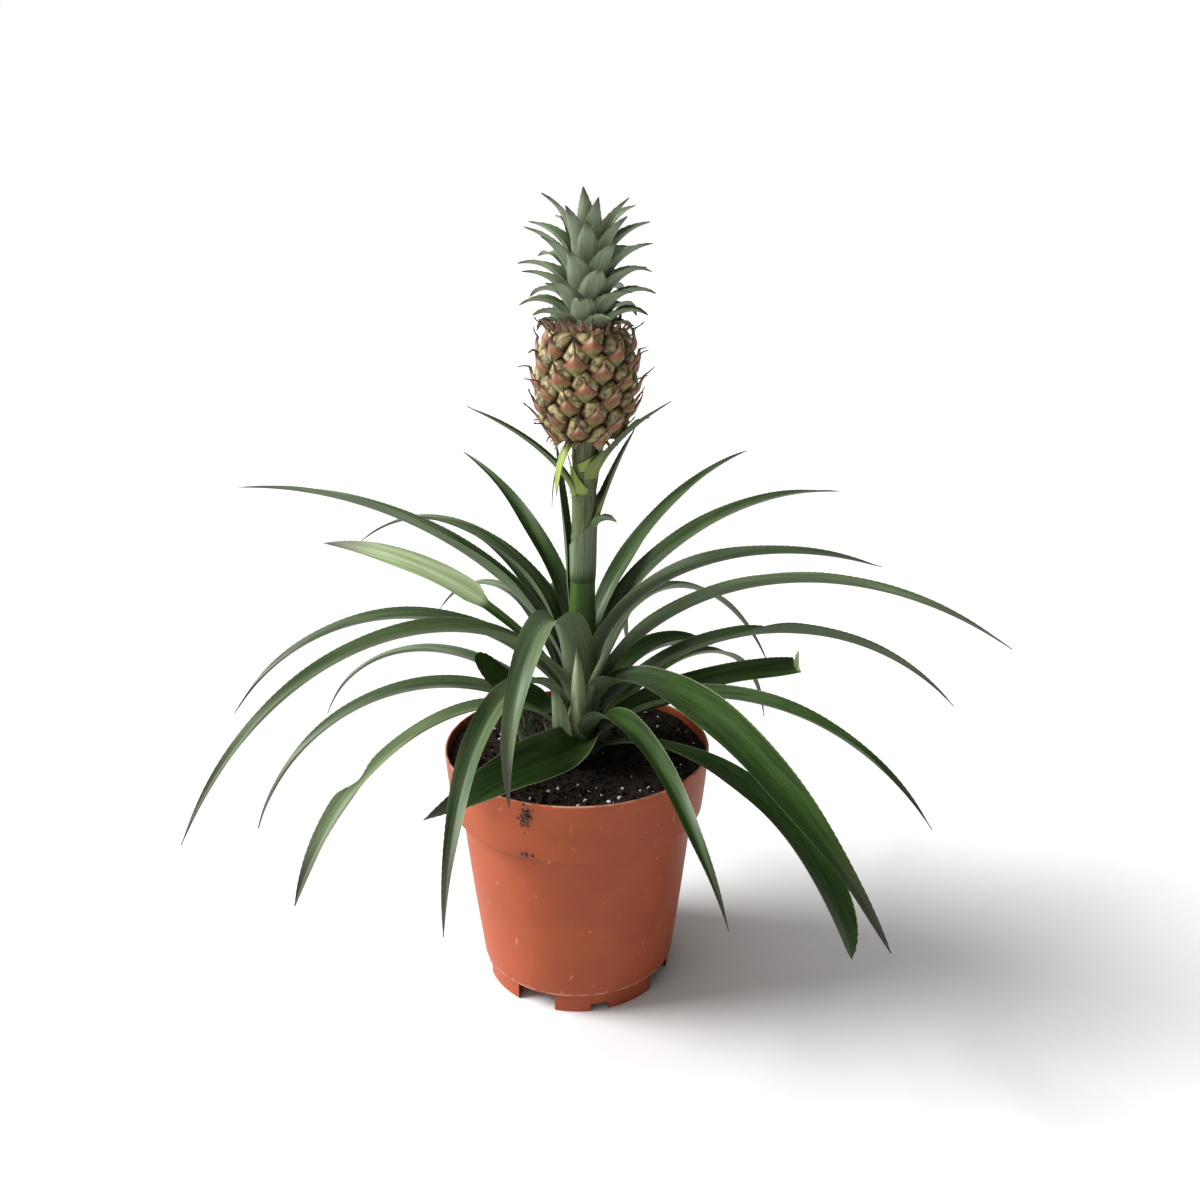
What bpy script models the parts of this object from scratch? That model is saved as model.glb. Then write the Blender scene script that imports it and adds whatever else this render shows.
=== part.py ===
"""Potted pineapple plant.

A terracotta-coloured nursery pot, filled with soil, carries a rosette of long channelled
leaves. A short leafy stem rises from the soil and runs on as the stalk of one small
pineapple with a crown of short leaves. Small offshoots stand in the soil beside the stem.

Units are metres, +Z is up, and the origin is on the floor under the pot's axis. Azimuths
are in degrees, counter-clockwise from +X when seen from above.
"""
from collections import namedtuple
from math import asin, cos, pi, radians, sin

import bmesh
import bpy
from mathutils import Vector

MM = 0.001
GAP = 0.3 * MM                  # clearance between pieces that touch

# Pot: a turned, thin-walled shell with a deep rim band, standing on a notched skirt
POT_SIDES = 48
POT_WALL = 1.2 * MM
RIM_TOP, RIM_TOP_RADIUS = 0.124, 0.0650
RIM_FOOT, RIM_FOOT_RADIUS = 0.094, 0.0625
SHOULDER, SHOULDER_RADIUS = 0.085, 0.0572
BODY_FOOT, BODY_FOOT_RADIUS = 0.0105, 0.0489
SKIRT_TOP, SKIRT_RADIUS = 0.0092, 0.0468
FLOOR_TOP, FLOOR_THICKNESS = 0.0085, 1.5 * MM
NOTCHES = 4                     # each kind of notch, evenly round the skirt
DEEP_NOTCH = (64, 25, 8.5 * MM)         # first azimuth, angle, height
SHALLOW_NOTCH = (14, 11, 4.0 * MM)
DRAIN_HOLES, DRAIN_RADIUS, DRAIN_CIRCLE = 4, 5 * MM, 25 * MM

# Soil, level a little below the rim
SOIL_TOP, SOIL_EDGE = 0.1170, 0.1160

# Stem: height and radius along it, from its foot in the soil to the fruit. Its axis leans
# towards +X.
STEM_SIDES_RESOLUTION = 4
STEM = ((0.100, 0.0090), (0.120, 0.0090), (0.150, 0.0082), (0.180, 0.0068), (0.200, 0.0060),
        (0.230, 0.0056), (0.262, 0.0056), (0.2764, 0.0062))
STEM_FOOT_X, STEM_LEAN = 0.0012, 0.022

# Fruit: a barrel of hexagonal eyes on a golden-angle spiral
FRUIT_FOOT, FRUIT_TOP = 0.2767, 0.3240
FRUIT_RADIUS = 0.0207
FRUIT_SQUARENESS = 3.0
FRUIT_END = 0.93                # share of the barrel's half height at which its ends are cut
EYES = 58
GOLDEN_ANGLE = 137.5
EYE_START = 20                  # azimuth of the lowest eye
EYE_RISE, THORN_RISE = 1.5 * MM, 2.1 * MM       # how proud an eye and its thorn's foot are
THORN_REACH, THORN_LIFT = 4.0 * MM, 3.5 * MM    # how far the thorn's tip is out and up
EYE_SHARE, THORN_SHARE = 0.80, 0.32             # their outlines, as shares of the cell's
NEIGHBOURS = (5, 8, 13)         # an eye's neighbours, counted along the spiral
MERGE = 0.00001

# Crown: short leaves on a small core
CROWN_LEAVES = 28
CROWN_FOOT, CROWN_CORE_TOP = 0.3243, 0.360
CROWN_CORE_RADIUS, CROWN_CORE_SIDES = 8 * MM, 16
CROWN_LEAF_WIDTH, CROWN_LEAF_LENGTH = 10, 31    # millimetres, as for the other leaves
LOWEST_CROWN_RISE, CROWN_RISE_GAIN = 14, 70     # slope of the lowest leaves, and the gain
CROWN_DROOP, CROWN_DROOP_LOSS = 60, 55          # how far the lowest ones bend down again

# Blades: every leaf is a sheet of one thickness, folded into a shallow channel along its
# middle. It is narrowest at its foot, which wraps the stem.
BLADE_THICKNESS = 1.0 * MM
BLADE_STEP, FEWEST_BLADE_STEPS = 15 * MM, 5
TIP_WIDTH = 1.2 * MM
FOOT_SHARE = 0.3                # width of a leaf's foot, as a share of its full width
CUT_NARROWING = 0.3             # how much of its width a cut leaf loses towards its end
CHANNEL_ANGLE = 28              # slope of each half of a blade, once it has left the stem
STEEPEST_CLASP = 30             # slope of each half where it wraps the stem
CLASP_SHARE, ROLL_SHARE, TURN_SHARE = 0.20, 0.25, 0.15      # lengths over which they set in
STEM_CLEARANCE = GAP + 0.2 * MM
ASKEW_SHARE = 0.75              # of a slanting foot's depth, added to its clearance

# A leaf leaves the stem at azimuth and height, climbs at slope rise and ends at slope fall.
# bend below 1 curves it mostly near its foot and sweep turns it sideways. roll tips it about
# its own length, and turn adds a twist after the share turn_at of its length. Its foot may
# lie round the stem from its azimuth by the angle lead, and it widens up to the share swell
# of its length. Lengths are in millimetres and angles in degrees. A full leaf keeps its width
# far out, and a cut one has no point.
Leaf = namedtuple("Leaf", "name azimuth height length width rise fall bend sweep roll turn "
                          "turn_at lead swell full cut",
                  defaults=(1, 0, 0, 0, 0.5, 0, 0.3, 1.8, False))

LEAVES = (
    # left, from the highest down
    Leaf("leaf_01", 160, 165.5, 211, 17, 76, -7, 0.51, -4),
    Leaf("leaf_02", 136, 154, 166, 15, 70, -40, 1.25, 27),
    Leaf("leaf_03", 160, 171, 106, 18, 77, 0, 1.0, 5),
    Leaf("leaf_04", 127, 179, 126, 14, 77, 13, 0.6, 0),
    Leaf("leaf_05", 158, 148, 152, 24, 62, 5, 0.5, 0, -30, swell=1.0, full=3),
    Leaf("leaf_06", 120, 145, 160, 12, 57, -48, 0.9, 12),
    Leaf("leaf_07", 182, 153, 178, 17, 50, -55, 1.1, 25, lead=-8),
    Leaf("leaf_08", 204, 157, 223, 18, 69, -57, 0.66, 28, lead=12),
    Leaf("leaf_09", 160, 136, 147, 13, 37, -70, 1.5, 20),
    Leaf("leaf_10", 185, 134, 176, 16, 41, -68, 1.0, 32, lead=-8),
    Leaf("leaf_11", 210, 132.5, 174, 18, 76, -58, 0.5, 28),
    Leaf("leaf_12", 255, 162, 166, 21, 82, -100, 1.0, 0, lead=4),
    Leaf("leaf_13", 248.5, 148, 188, 22, 50, -68, 0.95, 18, lead=-36),
    Leaf("leaf_14", 233, 130, 105, 28, 12, -11, 1.0, -12, -45, lead=62, swell=0.5),
    Leaf("leaf_15", 192, 142, 52, 17, 20, 58, cut=True),
    # right, from the highest down
    Leaf("leaf_16", 51, 179, 156, 13, 71, 4, 0.52, 0),
    Leaf("leaf_17", 33, 168, 176, 18, 80, -9, 0.55, -3),
    Leaf("leaf_18", 345, 170, 153, 20, 80.5, -14.5, 0.66, 5),
    Leaf("leaf_19", 335, 157, 212, 18, 59, -28, 1.0, -5),
    Leaf("leaf_20", 4, 143, 191, 17, 43, -46, 1.15, -20),
    Leaf("leaf_21", 338, 130, 182, 17, 49, -52, 0.9, -10),
    Leaf("leaf_22", 20, 130, 116, 18, 28, -5, 0.6, 0, 25, cut=True),
    Leaf("leaf_23", 304, 150, 208, 26, 72, -51, 0.45, 12, lead=22),
    Leaf("leaf_24", 325, 125, 171, 26, 30, -68, 0.85, -10, -10, full=6),
    Leaf("leaf_25", 290, 135, 166, 17, 55, -50, 0.7, 5),
    Leaf("leaf_26", 58, 155, 206, 14, 78, -60, 0.5, -20),
    Leaf("leaf_27", 46, 124, 194, 13, 37, -70, 1.0, 12),
    Leaf("leaf_28", 38, 136, 84, 20, 60, -34, 1.0, -12, lead=14, cut=True),
    # back, drooping behind the pot
    Leaf("leaf_29", 80, 140, 171, 18, 48, -62, 0.9, 0),
    Leaf("leaf_30", 94, 127, 140, 18, 40, -65, 0.9, 0),
    Leaf("leaf_31", 102, 153, 170, 18, 48, -62, 0.9, -5, lead=-6),
    # two young leaves at the heart of the rosette, and short leaves up the stalk
    Leaf("heart_leaf_1", 259, 136, 47, 11, 64, 84),
    Leaf("heart_leaf_2", 306, 143, 66, 7, 72, 58, 1.0, 12, lead=-22),
    Leaf("stalk_leaf_1", 268, 197, 42, 12, 88, 80),
    Leaf("stalk_leaf_2", 148, 200, 74, 10, 85, 84),
    Leaf("stalk_leaf_3", 12, 238, 46, 9, 72, 62),
    Leaf("stalk_leaf_4", 180, 256, 56, 9, 64, 20, 0.5),
    Leaf("stalk_leaf_5", 336, 257, 48, 8, 66, 32, 0.6, 16),
    Leaf("stalk_leaf_6", 60, 252, 46, 7, 66, 45),
)

# Offshoots stand in the soil: name, x, y, height of the tip, width. Each has a slim core.
OFFSHOOT_DEPTH, OFFSHOOT_CORE_HEIGHT, OFFSHOOT_CORE_SIDES = 8 * MM, 6 * MM, 12
OFFSHOOT_BLADES, SHORTER_BLADE = 3, 0.18
OFFSHOOTS = (
    ("offshoot_1", -0.0098, -0.0155, 0.155, 0.011),
    ("offshoot_2", -0.0260, -0.0010, 0.142, 0.008),
)

COLOURS = {
    "terracotta": (0.52, 0.17, 0.09),
    "soil": (0.018, 0.012, 0.009),
    "leaf": (0.06, 0.13, 0.045),
    "stem": (0.22, 0.30, 0.12),
    "fruit": (0.24, 0.20, 0.08),
    "crown": (0.16, 0.24, 0.13),
}


def clear_scene():
    for item in list(bpy.data.objects):
        bpy.data.objects.remove(item)


def new_collection(name):
    group = bpy.data.collections.new(name)
    bpy.context.scene.collection.children.link(group)
    return group


def new_material(name, roughness):
    material = bpy.data.materials.new(name)
    material.use_nodes = True
    shader = material.node_tree.nodes["Principled BSDF"]
    shader.inputs["Base Color"].default_value = (*COLOURS[name], 1)
    shader.inputs["Roughness"].default_value = roughness
    shader.inputs["Metallic"].default_value = 0
    return material


def add_mesh(name, points, faces, group, material=None):
    mesh = bpy.data.meshes.new(name)
    mesh.from_pydata(points, [], faces)
    item = bpy.data.objects.new(name, mesh)
    if material:
        mesh.materials.append(material)
    group.objects.link(item)
    return item


def turned(name, profile, sides, group, material):
    """Turn a profile of (radius, height) points about the Z axis."""
    edges = [(i, i + 1) for i in range(len(profile) - 1)]
    mesh = bpy.data.meshes.new(name)
    mesh.from_pydata([(radius, 0, height) for radius, height in profile], edges, [])
    mesh.materials.append(material)
    item = bpy.data.objects.new(name, mesh)
    group.objects.link(item)
    screw = item.modifiers.new("turn", "SCREW")
    screw.axis = "Z"
    screw.steps = screw.render_steps = sides
    screw.use_merge_vertices = True
    screw.merge_threshold = 0.00001
    screw.use_smooth_shade = True
    return item


def cylinder(name, radius, low, high, x, y, group, sides=24):
    mesh = bpy.data.meshes.new(name)
    work = bmesh.new()
    bmesh.ops.create_cone(work, cap_ends=True, segments=sides, radius1=radius, radius2=radius,
                          depth=high - low)
    work.to_mesh(mesh)
    work.free()
    item = bpy.data.objects.new(name, mesh)
    item.location = (x, y, (low + high) / 2)
    group.objects.link(item)
    return item


def box(name, size, location, azimuth, group):
    mesh = bpy.data.meshes.new(name)
    work = bmesh.new()
    bmesh.ops.create_cube(work, size=1)
    bmesh.ops.scale(work, vec=size, verts=work.verts)
    work.to_mesh(mesh)
    work.free()
    item = bpy.data.objects.new(name, mesh)
    item.location = location
    item.rotation_euler = (0, 0, azimuth)
    group.objects.link(item)
    return item


def mark_cutter(item):
    item.hide_render = True
    item.display_type = "WIRE"


def subtract(item, cutters):
    """Cut every object of a collection out of an object."""
    for cutter in cutters.objects:
        mark_cutter(cutter)
    cut = item.modifiers.new("cut", "BOOLEAN")
    cut.operation = "DIFFERENCE"
    cut.operand_type = "COLLECTION"
    cut.collection = cutters


def pot_profile():
    skirt_inside = SKIRT_RADIUS - POT_WALL
    return (
        (0, FLOOR_TOP),
        (skirt_inside, FLOOR_TOP),
        (BODY_FOOT_RADIUS - POT_WALL, BODY_FOOT + POT_WALL),
        (SHOULDER_RADIUS - POT_WALL, SHOULDER),
        (RIM_FOOT_RADIUS - POT_WALL, RIM_FOOT),
        (RIM_TOP_RADIUS - POT_WALL, RIM_TOP - POT_WALL / 3),
        (RIM_TOP_RADIUS - POT_WALL * 0.7, RIM_TOP),
        (RIM_TOP_RADIUS - POT_WALL * 0.3, RIM_TOP),
        (RIM_TOP_RADIUS, RIM_TOP - POT_WALL / 3),
        (RIM_FOOT_RADIUS, RIM_FOOT),
        (SHOULDER_RADIUS, SHOULDER),
        (BODY_FOOT_RADIUS, BODY_FOOT),
        (SKIRT_RADIUS, SKIRT_TOP),
        (SKIRT_RADIUS, 0),
        (skirt_inside, 0),
        (skirt_inside, FLOOR_TOP - FLOOR_THICKNESS),
        (0, FLOOR_TOP - FLOOR_THICKNESS),
    )


def make_pot(group, cutters, material):
    pot = turned("pot", pot_profile(), POT_SIDES, group, material)
    reach = 4 * POT_WALL
    for first, angle, height in (DEEP_NOTCH, SHALLOW_NOTCH):
        width = 2 * SKIRT_RADIUS * sin(radians(angle) / 2)
        for i in range(NOTCHES):
            azimuth = radians(first + 360 * i / NOTCHES)
            middle = SKIRT_RADIUS - POT_WALL / 2
            place = (middle * cos(azimuth), middle * sin(azimuth), 0)
            box("notch", (reach, width, 2 * height), place, azimuth, cutters)
    for i in range(DRAIN_HOLES):
        azimuth = 2 * pi * (i + 0.5) / DRAIN_HOLES
        x, y = DRAIN_CIRCLE * cos(azimuth), DRAIN_CIRCLE * sin(azimuth)
        cylinder("drain", DRAIN_RADIUS, 0, 2 * FLOOR_TOP, x, y, cutters)
    subtract(pot, cutters)
    return pot


def make_soil(group, cutters, material):
    """Fill the pot, leaving a plain hole for the stem and for each offshoot."""
    inset = POT_WALL + GAP
    slope = (RIM_TOP_RADIUS - RIM_FOOT_RADIUS) / (RIM_TOP - RIM_FOOT)
    edge_radius = RIM_FOOT_RADIUS + slope * (SOIL_EDGE - RIM_FOOT) - inset
    profile = (
        (0, SOIL_TOP),
        (edge_radius * 0.6, SOIL_TOP),
        (edge_radius, SOIL_EDGE),
        (RIM_FOOT_RADIUS - inset, RIM_FOOT + GAP),
        (SHOULDER_RADIUS - inset, SHOULDER + GAP),
        (BODY_FOOT_RADIUS - inset, BODY_FOOT + POT_WALL + GAP),
        (SKIRT_RADIUS - inset, FLOOR_TOP + GAP),
        (0, FLOOR_TOP + GAP),
    )
    soil = turned("soil", profile, POT_SIDES, group, material)
    foot, foot_radius = STEM[0]
    above = SOIL_TOP + 5 * MM
    cylinder("stem_hole", foot_radius + GAP, foot - GAP, above, stem_x(foot), 0, cutters)
    for name, x, y, tip, width in OFFSHOOTS:
        cylinder(name + "_hole", offshoot_core(width) + GAP, SOIL_TOP - OFFSHOOT_DEPTH - GAP,
                 above, x, y, cutters, OFFSHOOT_CORE_SIDES)
    subtract(soil, cutters)
    return soil


def stem_x(height):
    return STEM_FOOT_X + STEM_LEAN * max(0, height - STEM[1][0])


def stem_radius(height):
    for (low, low_radius), (high, high_radius) in zip(STEM, STEM[1:]):
        if height <= high:
            share = (height - low) / (high - low)
            return low_radius + share * (high_radius - low_radius)
    return STEM[-1][1]


def make_stem(group, material):
    curve = bpy.data.curves.new("stem", "CURVE")
    curve.dimensions = "3D"
    curve.bevel_depth = MM
    curve.bevel_resolution = STEM_SIDES_RESOLUTION
    curve.use_fill_caps = True
    spline = curve.splines.new("POLY")
    spline.points.add(len(STEM) - 1)
    for point, (height, radius) in zip(spline.points, STEM):
        point.co = (stem_x(height), 0, height, 1)
        point.radius = radius / MM
    curve.materials.append(material)
    stem = bpy.data.objects.new("stem", curve)
    group.objects.link(stem)
    return stem


def smooth_step(value):
    value = min(1, max(0, value))
    return value * value * (3 - 2 * value)


def leaf_half_width(leaf, share):
    """Half the blade's width at a share of its length."""
    widen = FOOT_SHARE + (1 - FOOT_SHARE) * smooth_step(share / leaf.swell)
    narrow = 1 - CUT_NARROWING * share ** 3 if leaf.cut else (1 - share ** leaf.full) ** 0.9
    return max(leaf.width * MM * widen * narrow, TIP_WIDTH) / 2


def leaf_stations(leaf, steps, foot):
    """Yield centre, side and upward vectors and half width, from a leaf's foot to its tip."""
    centre = Vector(foot)
    step = leaf.length * MM / steps
    for i in range(steps + 1):
        share = i / steps
        slope = radians(leaf.rise + (leaf.fall - leaf.rise) * share ** leaf.bend)
        heading = radians(leaf.azimuth + leaf.sweep * share ** 1.5)
        along = Vector((cos(slope) * cos(heading), cos(slope) * sin(heading), sin(slope)))
        side = Vector((-sin(heading), cos(heading), 0))
        up = along.cross(side)
        roll = radians(leaf.roll * smooth_step(share / ROLL_SHARE)
                       + leaf.turn * smooth_step((share - leaf.turn_at) / TURN_SHARE))
        if i:
            centre = centre + (along + last_along) * (step / 2)
        last_along = along
        yield (centre.copy(), side * cos(roll) + up * sin(roll),
               up * cos(roll) - side * sin(roll), leaf_half_width(leaf, share))


def leaf_foot(leaf):
    """The point where the middle of a leaf's foot stands with all of it clear of the stem."""
    height = leaf.height * MM
    askew = leaf_half_width(leaf, 0) * abs(sin(radians(leaf.lead))) * ASKEW_SHARE
    clear = stem_radius(height) + STEM_CLEARANCE + BLADE_THICKNESS / 2 + askew
    azimuth = radians(leaf.azimuth + leaf.lead)
    return (stem_x(height) + clear * cos(azimuth), clear * sin(azimuth), height)


def blade_fold(share, half_width, stem):
    """How far each half of a blade is folded up: round the stem at its foot, then a channel."""
    clasp = min(radians(STEEPEST_CLASP), asin(min(1, half_width / (2.4 * stem))))
    return clasp + (radians(CHANNEL_ANGLE) - clasp) * smooth_step(share / CLASP_SHARE)


def blade(name, leaf, foot, group, material, stem):
    """Loft a channelled blade as an open sheet of three lines of points, then thicken it."""
    steps = max(FEWEST_BLADE_STEPS, round(leaf.length * MM / BLADE_STEP))
    points = []
    faces = []
    for i, (centre, side, up, half_width) in enumerate(leaf_stations(leaf, steps, foot)):
        fold = blade_fold(i / steps, half_width, stem)
        for sign in (-1, 0, 1):
            across = side * (sign * half_width * cos(fold))
            lifted = up * (abs(sign) * half_width * sin(fold))
            points.append(centre + across + lifted)
        if i:
            a, b = 3 * (i - 1), 3 * i
            faces += [(a, b + 1, a + 1), (a, b, b + 1), (a + 1, b + 1, a + 2),
                      (b + 1, b + 2, a + 2)]
    item = add_mesh(name, points, faces, group, material)
    thicken = item.modifiers.new("thickness", "SOLIDIFY")
    thicken.thickness = BLADE_THICKNESS
    thicken.offset = 0
    return item


def make_leaves(group, material):
    for leaf in LEAVES:
        blade(leaf.name, leaf, leaf_foot(leaf), group, material,
              stem_radius(leaf.height * MM))


def offshoot_core(width):
    return width * 0.3


def make_offshoots(group, material):
    """Each offshoot is a slim core with short blades folded round it."""
    for name, x, y, tip, width in OFFSHOOTS:
        radius = offshoot_core(width)
        core = cylinder(name, radius, SOIL_TOP - OFFSHOOT_DEPTH, SOIL_TOP + OFFSHOOT_CORE_HEIGHT,
                        x, y, group, OFFSHOOT_CORE_SIDES)
        core.data.materials.append(material)
        blades = new_collection(name + "_blades")
        for i in range(OFFSHOOT_BLADES):
            azimuth = 270 + 360 * i / OFFSHOOT_BLADES
            length = (tip - SOIL_TOP) * (1 - SHORTER_BLADE * i)
            leaf = Leaf("blade", azimuth, 0, length / MM, width / MM, 86, 84, full=1.2)
            inside = radius * 0.4
            foot = (x + inside * cos(radians(azimuth)), y + inside * sin(radians(azimuth)),
                    SOIL_TOP + 1 * MM)
            blade("blade", leaf, foot, blades, material, radius)
        fuse(core, blades)


def fruit_radius(height):
    middle = (FRUIT_FOOT + FRUIT_TOP) / 2
    half = (FRUIT_TOP - FRUIT_FOOT) / 2 / FRUIT_END
    rise = min(FRUIT_END, abs(height - middle) / half)
    return FRUIT_RADIUS * (1 - rise ** FRUIT_SQUARENESS) ** (1 / FRUIT_SQUARENESS)


def fruit_point(azimuth, height, proud=0.0):
    height = min(FRUIT_TOP, max(FRUIT_FOOT, height))
    radius = fruit_radius(height) + proud
    return Vector((stem_x(height) + radius * cos(radians(azimuth)),
                   radius * sin(radians(azimuth)), height))


def cell_corners():
    """A cell's six corners, as azimuths and numbers of eyes from its own eye."""
    def drift(eyes):
        return (GOLDEN_ANGLE * eyes + 180) % 360 - 180

    near, far, steep = NEIGHBOURS
    first = ((drift(near) + drift(steep)) / 3, (near + steep) / 3)
    second = ((drift(far) + drift(steep)) / 3, (far + steep) / 3)
    third = (second[0] - first[0], second[1] - first[1])
    half = (first, second, third)
    return half + tuple((-azimuth, -eyes) for azimuth, eyes in half)


def eye_point(eye, offset, share, proud, lift=0.0):
    """A point on an eye, at a share of the way to one of its cell's corners."""
    azimuth = EYE_START + GOLDEN_ANGLE * eye + share * offset[0]
    place = (eye + 0.5 + share * offset[1]) / EYES
    return fruit_point(azimuth, FRUIT_FOOT + (FRUIT_TOP - FRUIT_FOOT) * place + lift, proud)


def close_ends(work):
    """Close each open end of the fruit with a fan of faces to its middle."""
    open_edges = [edge for edge in work.edges if edge.is_boundary]
    for height in (FRUIT_FOOT, FRUIT_TOP):
        middle = work.verts.new((stem_x(height), 0, height))
        for edge in open_edges:
            if abs(edge.verts[0].co.z - height) < (FRUIT_TOP - FRUIT_FOOT) / 2:
                work.faces.new((*edge.verts, middle))


def make_fruit(group, material):
    """Model each eye as a raised hexagon that runs out into a thorn."""
    work = bmesh.new()
    corners = cell_corners()
    sides = len(corners)
    rings = ((1, 0), (EYE_SHARE, EYE_RISE), (THORN_SHARE, THORN_RISE))
    for eye in range(EYES):
        loops = [[work.verts.new(eye_point(eye, corner, share, proud)) for corner in corners]
                 for share, proud in rings]
        tip = work.verts.new(eye_point(eye, corners[0], 0, EYE_RISE + THORN_REACH, THORN_LIFT))
        for i in range(sides):
            j = (i + 1) % sides
            for outer, inner in zip(loops, loops[1:]):
                work.faces.new((outer[i], outer[j], inner[j], inner[i]))
            work.faces.new((loops[-1][i], loops[-1][j], tip))
    bmesh.ops.remove_doubles(work, verts=work.verts, dist=MERGE)
    close_ends(work)
    bmesh.ops.triangulate(work, faces=work.faces)
    bmesh.ops.recalc_face_normals(work, faces=work.faces)
    mesh = bpy.data.meshes.new("fruit")
    work.to_mesh(mesh)
    work.free()
    mesh.materials.append(material)
    group.objects.link(bpy.data.objects.new("fruit", mesh))


def fuse(item, pieces):
    """Join a collection of pieces to an object as one closed body, and drop the pieces."""
    join = item.modifiers.new("join", "BOOLEAN")
    join.operation = "UNION"
    join.solver = "MANIFOLD"
    join.operand_type = "COLLECTION"
    join.collection = pieces
    bpy.context.view_layer.update()
    evaluated = item.evaluated_get(bpy.context.evaluated_depsgraph_get())
    mesh = bpy.data.meshes.new_from_object(evaluated)
    item.modifiers.clear()
    item.data = mesh
    for piece in list(pieces.objects):
        bpy.data.objects.remove(piece)
    bpy.data.collections.remove(pieces)


def crown_leaf(index):
    """One leaf of the crown: the low ones bend outwards, the high ones stand up."""
    share = index / (CROWN_LEAVES - 1)
    height = CROWN_FOOT + 1.5 * MM + (CROWN_CORE_TOP - CROWN_FOOT - 4 * MM) * share
    rise = LOWEST_CROWN_RISE + CROWN_RISE_GAIN * share ** 0.8
    fall = rise - CROWN_DROOP + CROWN_DROOP_LOSS * share
    length = CROWN_LEAF_LENGTH - 8 * share + 3 * sin(2.4 * index)
    return Leaf("crown_leaf", EYE_START + GOLDEN_ANGLE * index, height / MM, length,
                CROWN_LEAF_WIDTH, rise, fall, 1.2)


def make_crown(group, material):
    profile = (
        (0, CROWN_CORE_TOP),
        (CROWN_CORE_RADIUS * 0.35, CROWN_CORE_TOP - 1 * MM),
        (CROWN_CORE_RADIUS * 0.8, CROWN_FOOT + 8 * MM),
        (CROWN_CORE_RADIUS, CROWN_FOOT),
        (0, CROWN_FOOT),
    )
    crown = turned("crown", profile, CROWN_CORE_SIDES, group, material)
    crown.location.x = stem_x(CROWN_FOOT)
    leaves = new_collection("crown_leaves")
    for index in range(CROWN_LEAVES):
        leaf = crown_leaf(index)
        inside = CROWN_CORE_RADIUS * 0.4 * (1 - index / CROWN_LEAVES)
        azimuth = radians(leaf.azimuth)
        foot = (stem_x(CROWN_FOOT) + inside * cos(azimuth), inside * sin(azimuth),
                leaf.height * MM)
        blade("crown_leaf", leaf, foot, leaves, material, CROWN_CORE_RADIUS)
    fuse(crown, leaves)


def main():
    clear_scene()
    plant = new_collection("potted_pineapple_plant")
    pot_cutters = new_collection("pot_cutters")
    soil_cutters = new_collection("soil_cutters")
    make_pot(plant, pot_cutters, new_material("terracotta", 0.55))
    make_soil(plant, soil_cutters, new_material("soil", 0.95))
    make_stem(plant, new_material("stem", 0.5))
    leaf_green = new_material("leaf", 0.4)
    make_leaves(plant, leaf_green)
    make_offshoots(plant, leaf_green)
    make_fruit(plant, new_material("fruit", 0.45))
    make_crown(plant, new_material("crown", 0.45))


main()
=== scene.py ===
"""Looks of the potted pineapple plant.

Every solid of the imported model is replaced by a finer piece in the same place: channelled
leaves with toothed margins, a leafy stalk, a fruit with its eyes and bracts, a crown, a turned
plastic pot and crumbly soil. Units are metres unless a name says otherwise, and +Z is up. In
the tables, azimuths are in degrees, counter-clockwise from +X when seen from above.
"""
from collections import namedtuple
from math import cos, pi, radians, sin

import bpy
import numpy as np
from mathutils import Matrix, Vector, noise


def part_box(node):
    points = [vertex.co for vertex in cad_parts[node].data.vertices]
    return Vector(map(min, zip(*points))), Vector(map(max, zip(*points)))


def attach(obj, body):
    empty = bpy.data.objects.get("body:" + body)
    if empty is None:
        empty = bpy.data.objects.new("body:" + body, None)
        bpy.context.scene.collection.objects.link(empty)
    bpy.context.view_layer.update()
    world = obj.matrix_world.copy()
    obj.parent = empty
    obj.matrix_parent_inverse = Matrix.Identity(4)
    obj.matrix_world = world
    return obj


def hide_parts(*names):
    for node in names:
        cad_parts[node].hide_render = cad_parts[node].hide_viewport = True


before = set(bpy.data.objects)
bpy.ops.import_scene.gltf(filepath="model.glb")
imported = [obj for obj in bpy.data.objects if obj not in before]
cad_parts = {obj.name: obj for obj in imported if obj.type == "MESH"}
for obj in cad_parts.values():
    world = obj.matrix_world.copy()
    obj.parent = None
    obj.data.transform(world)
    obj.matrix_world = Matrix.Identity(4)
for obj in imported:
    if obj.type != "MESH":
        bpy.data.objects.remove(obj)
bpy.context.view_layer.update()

MM = 0.001

# Blades
COLUMNS = 13  # points across a blade
STATION = 1.5 * MM  # distance between the rows of points along it
THICKNESS = 0.9 * MM  # in the middle, thinning to the margins
TEETH = (0.0, 0.13 * MM)  # how far successive margin points stand out
SMALL_LEAF_TEETH = (0.0, 0.15 * MM)
TOOTH_LEAN = 0.7 * MM  # how far a tooth points towards the leaf's tip
TIP_WIDTH = 0.5 * MM
ROLL_SHARE, TURN_SHARE, CLASP_SHARE, DRAPE_SHARE = 0.25, 0.15, 0.22, 0.15
UPRIGHT = 88  # slope of a foot where it lies along the stem
MOST_CURL = 1.9  # how far a foot wraps the stem, in radians
WOBBLE = 0.06  # how far a blade rolls to and fro, in radians
RIPPLE, RIPPLE_LENGTH = 0.35 * MM, 9 * MM
CUT_NARROWING = 0.3
SHEATH_SPREAD = 0.045  # how much further out a leaf's foot is for each mm lower
TOP_LEAF_HEIGHT = 180  # millimetres
GREEN_END = 0.74  # share that stands for the end of a blade with no dry tip
TINY, BLUNT = 15, 5  # a length (mm) and a fullness past which the tip isn't dry

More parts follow.
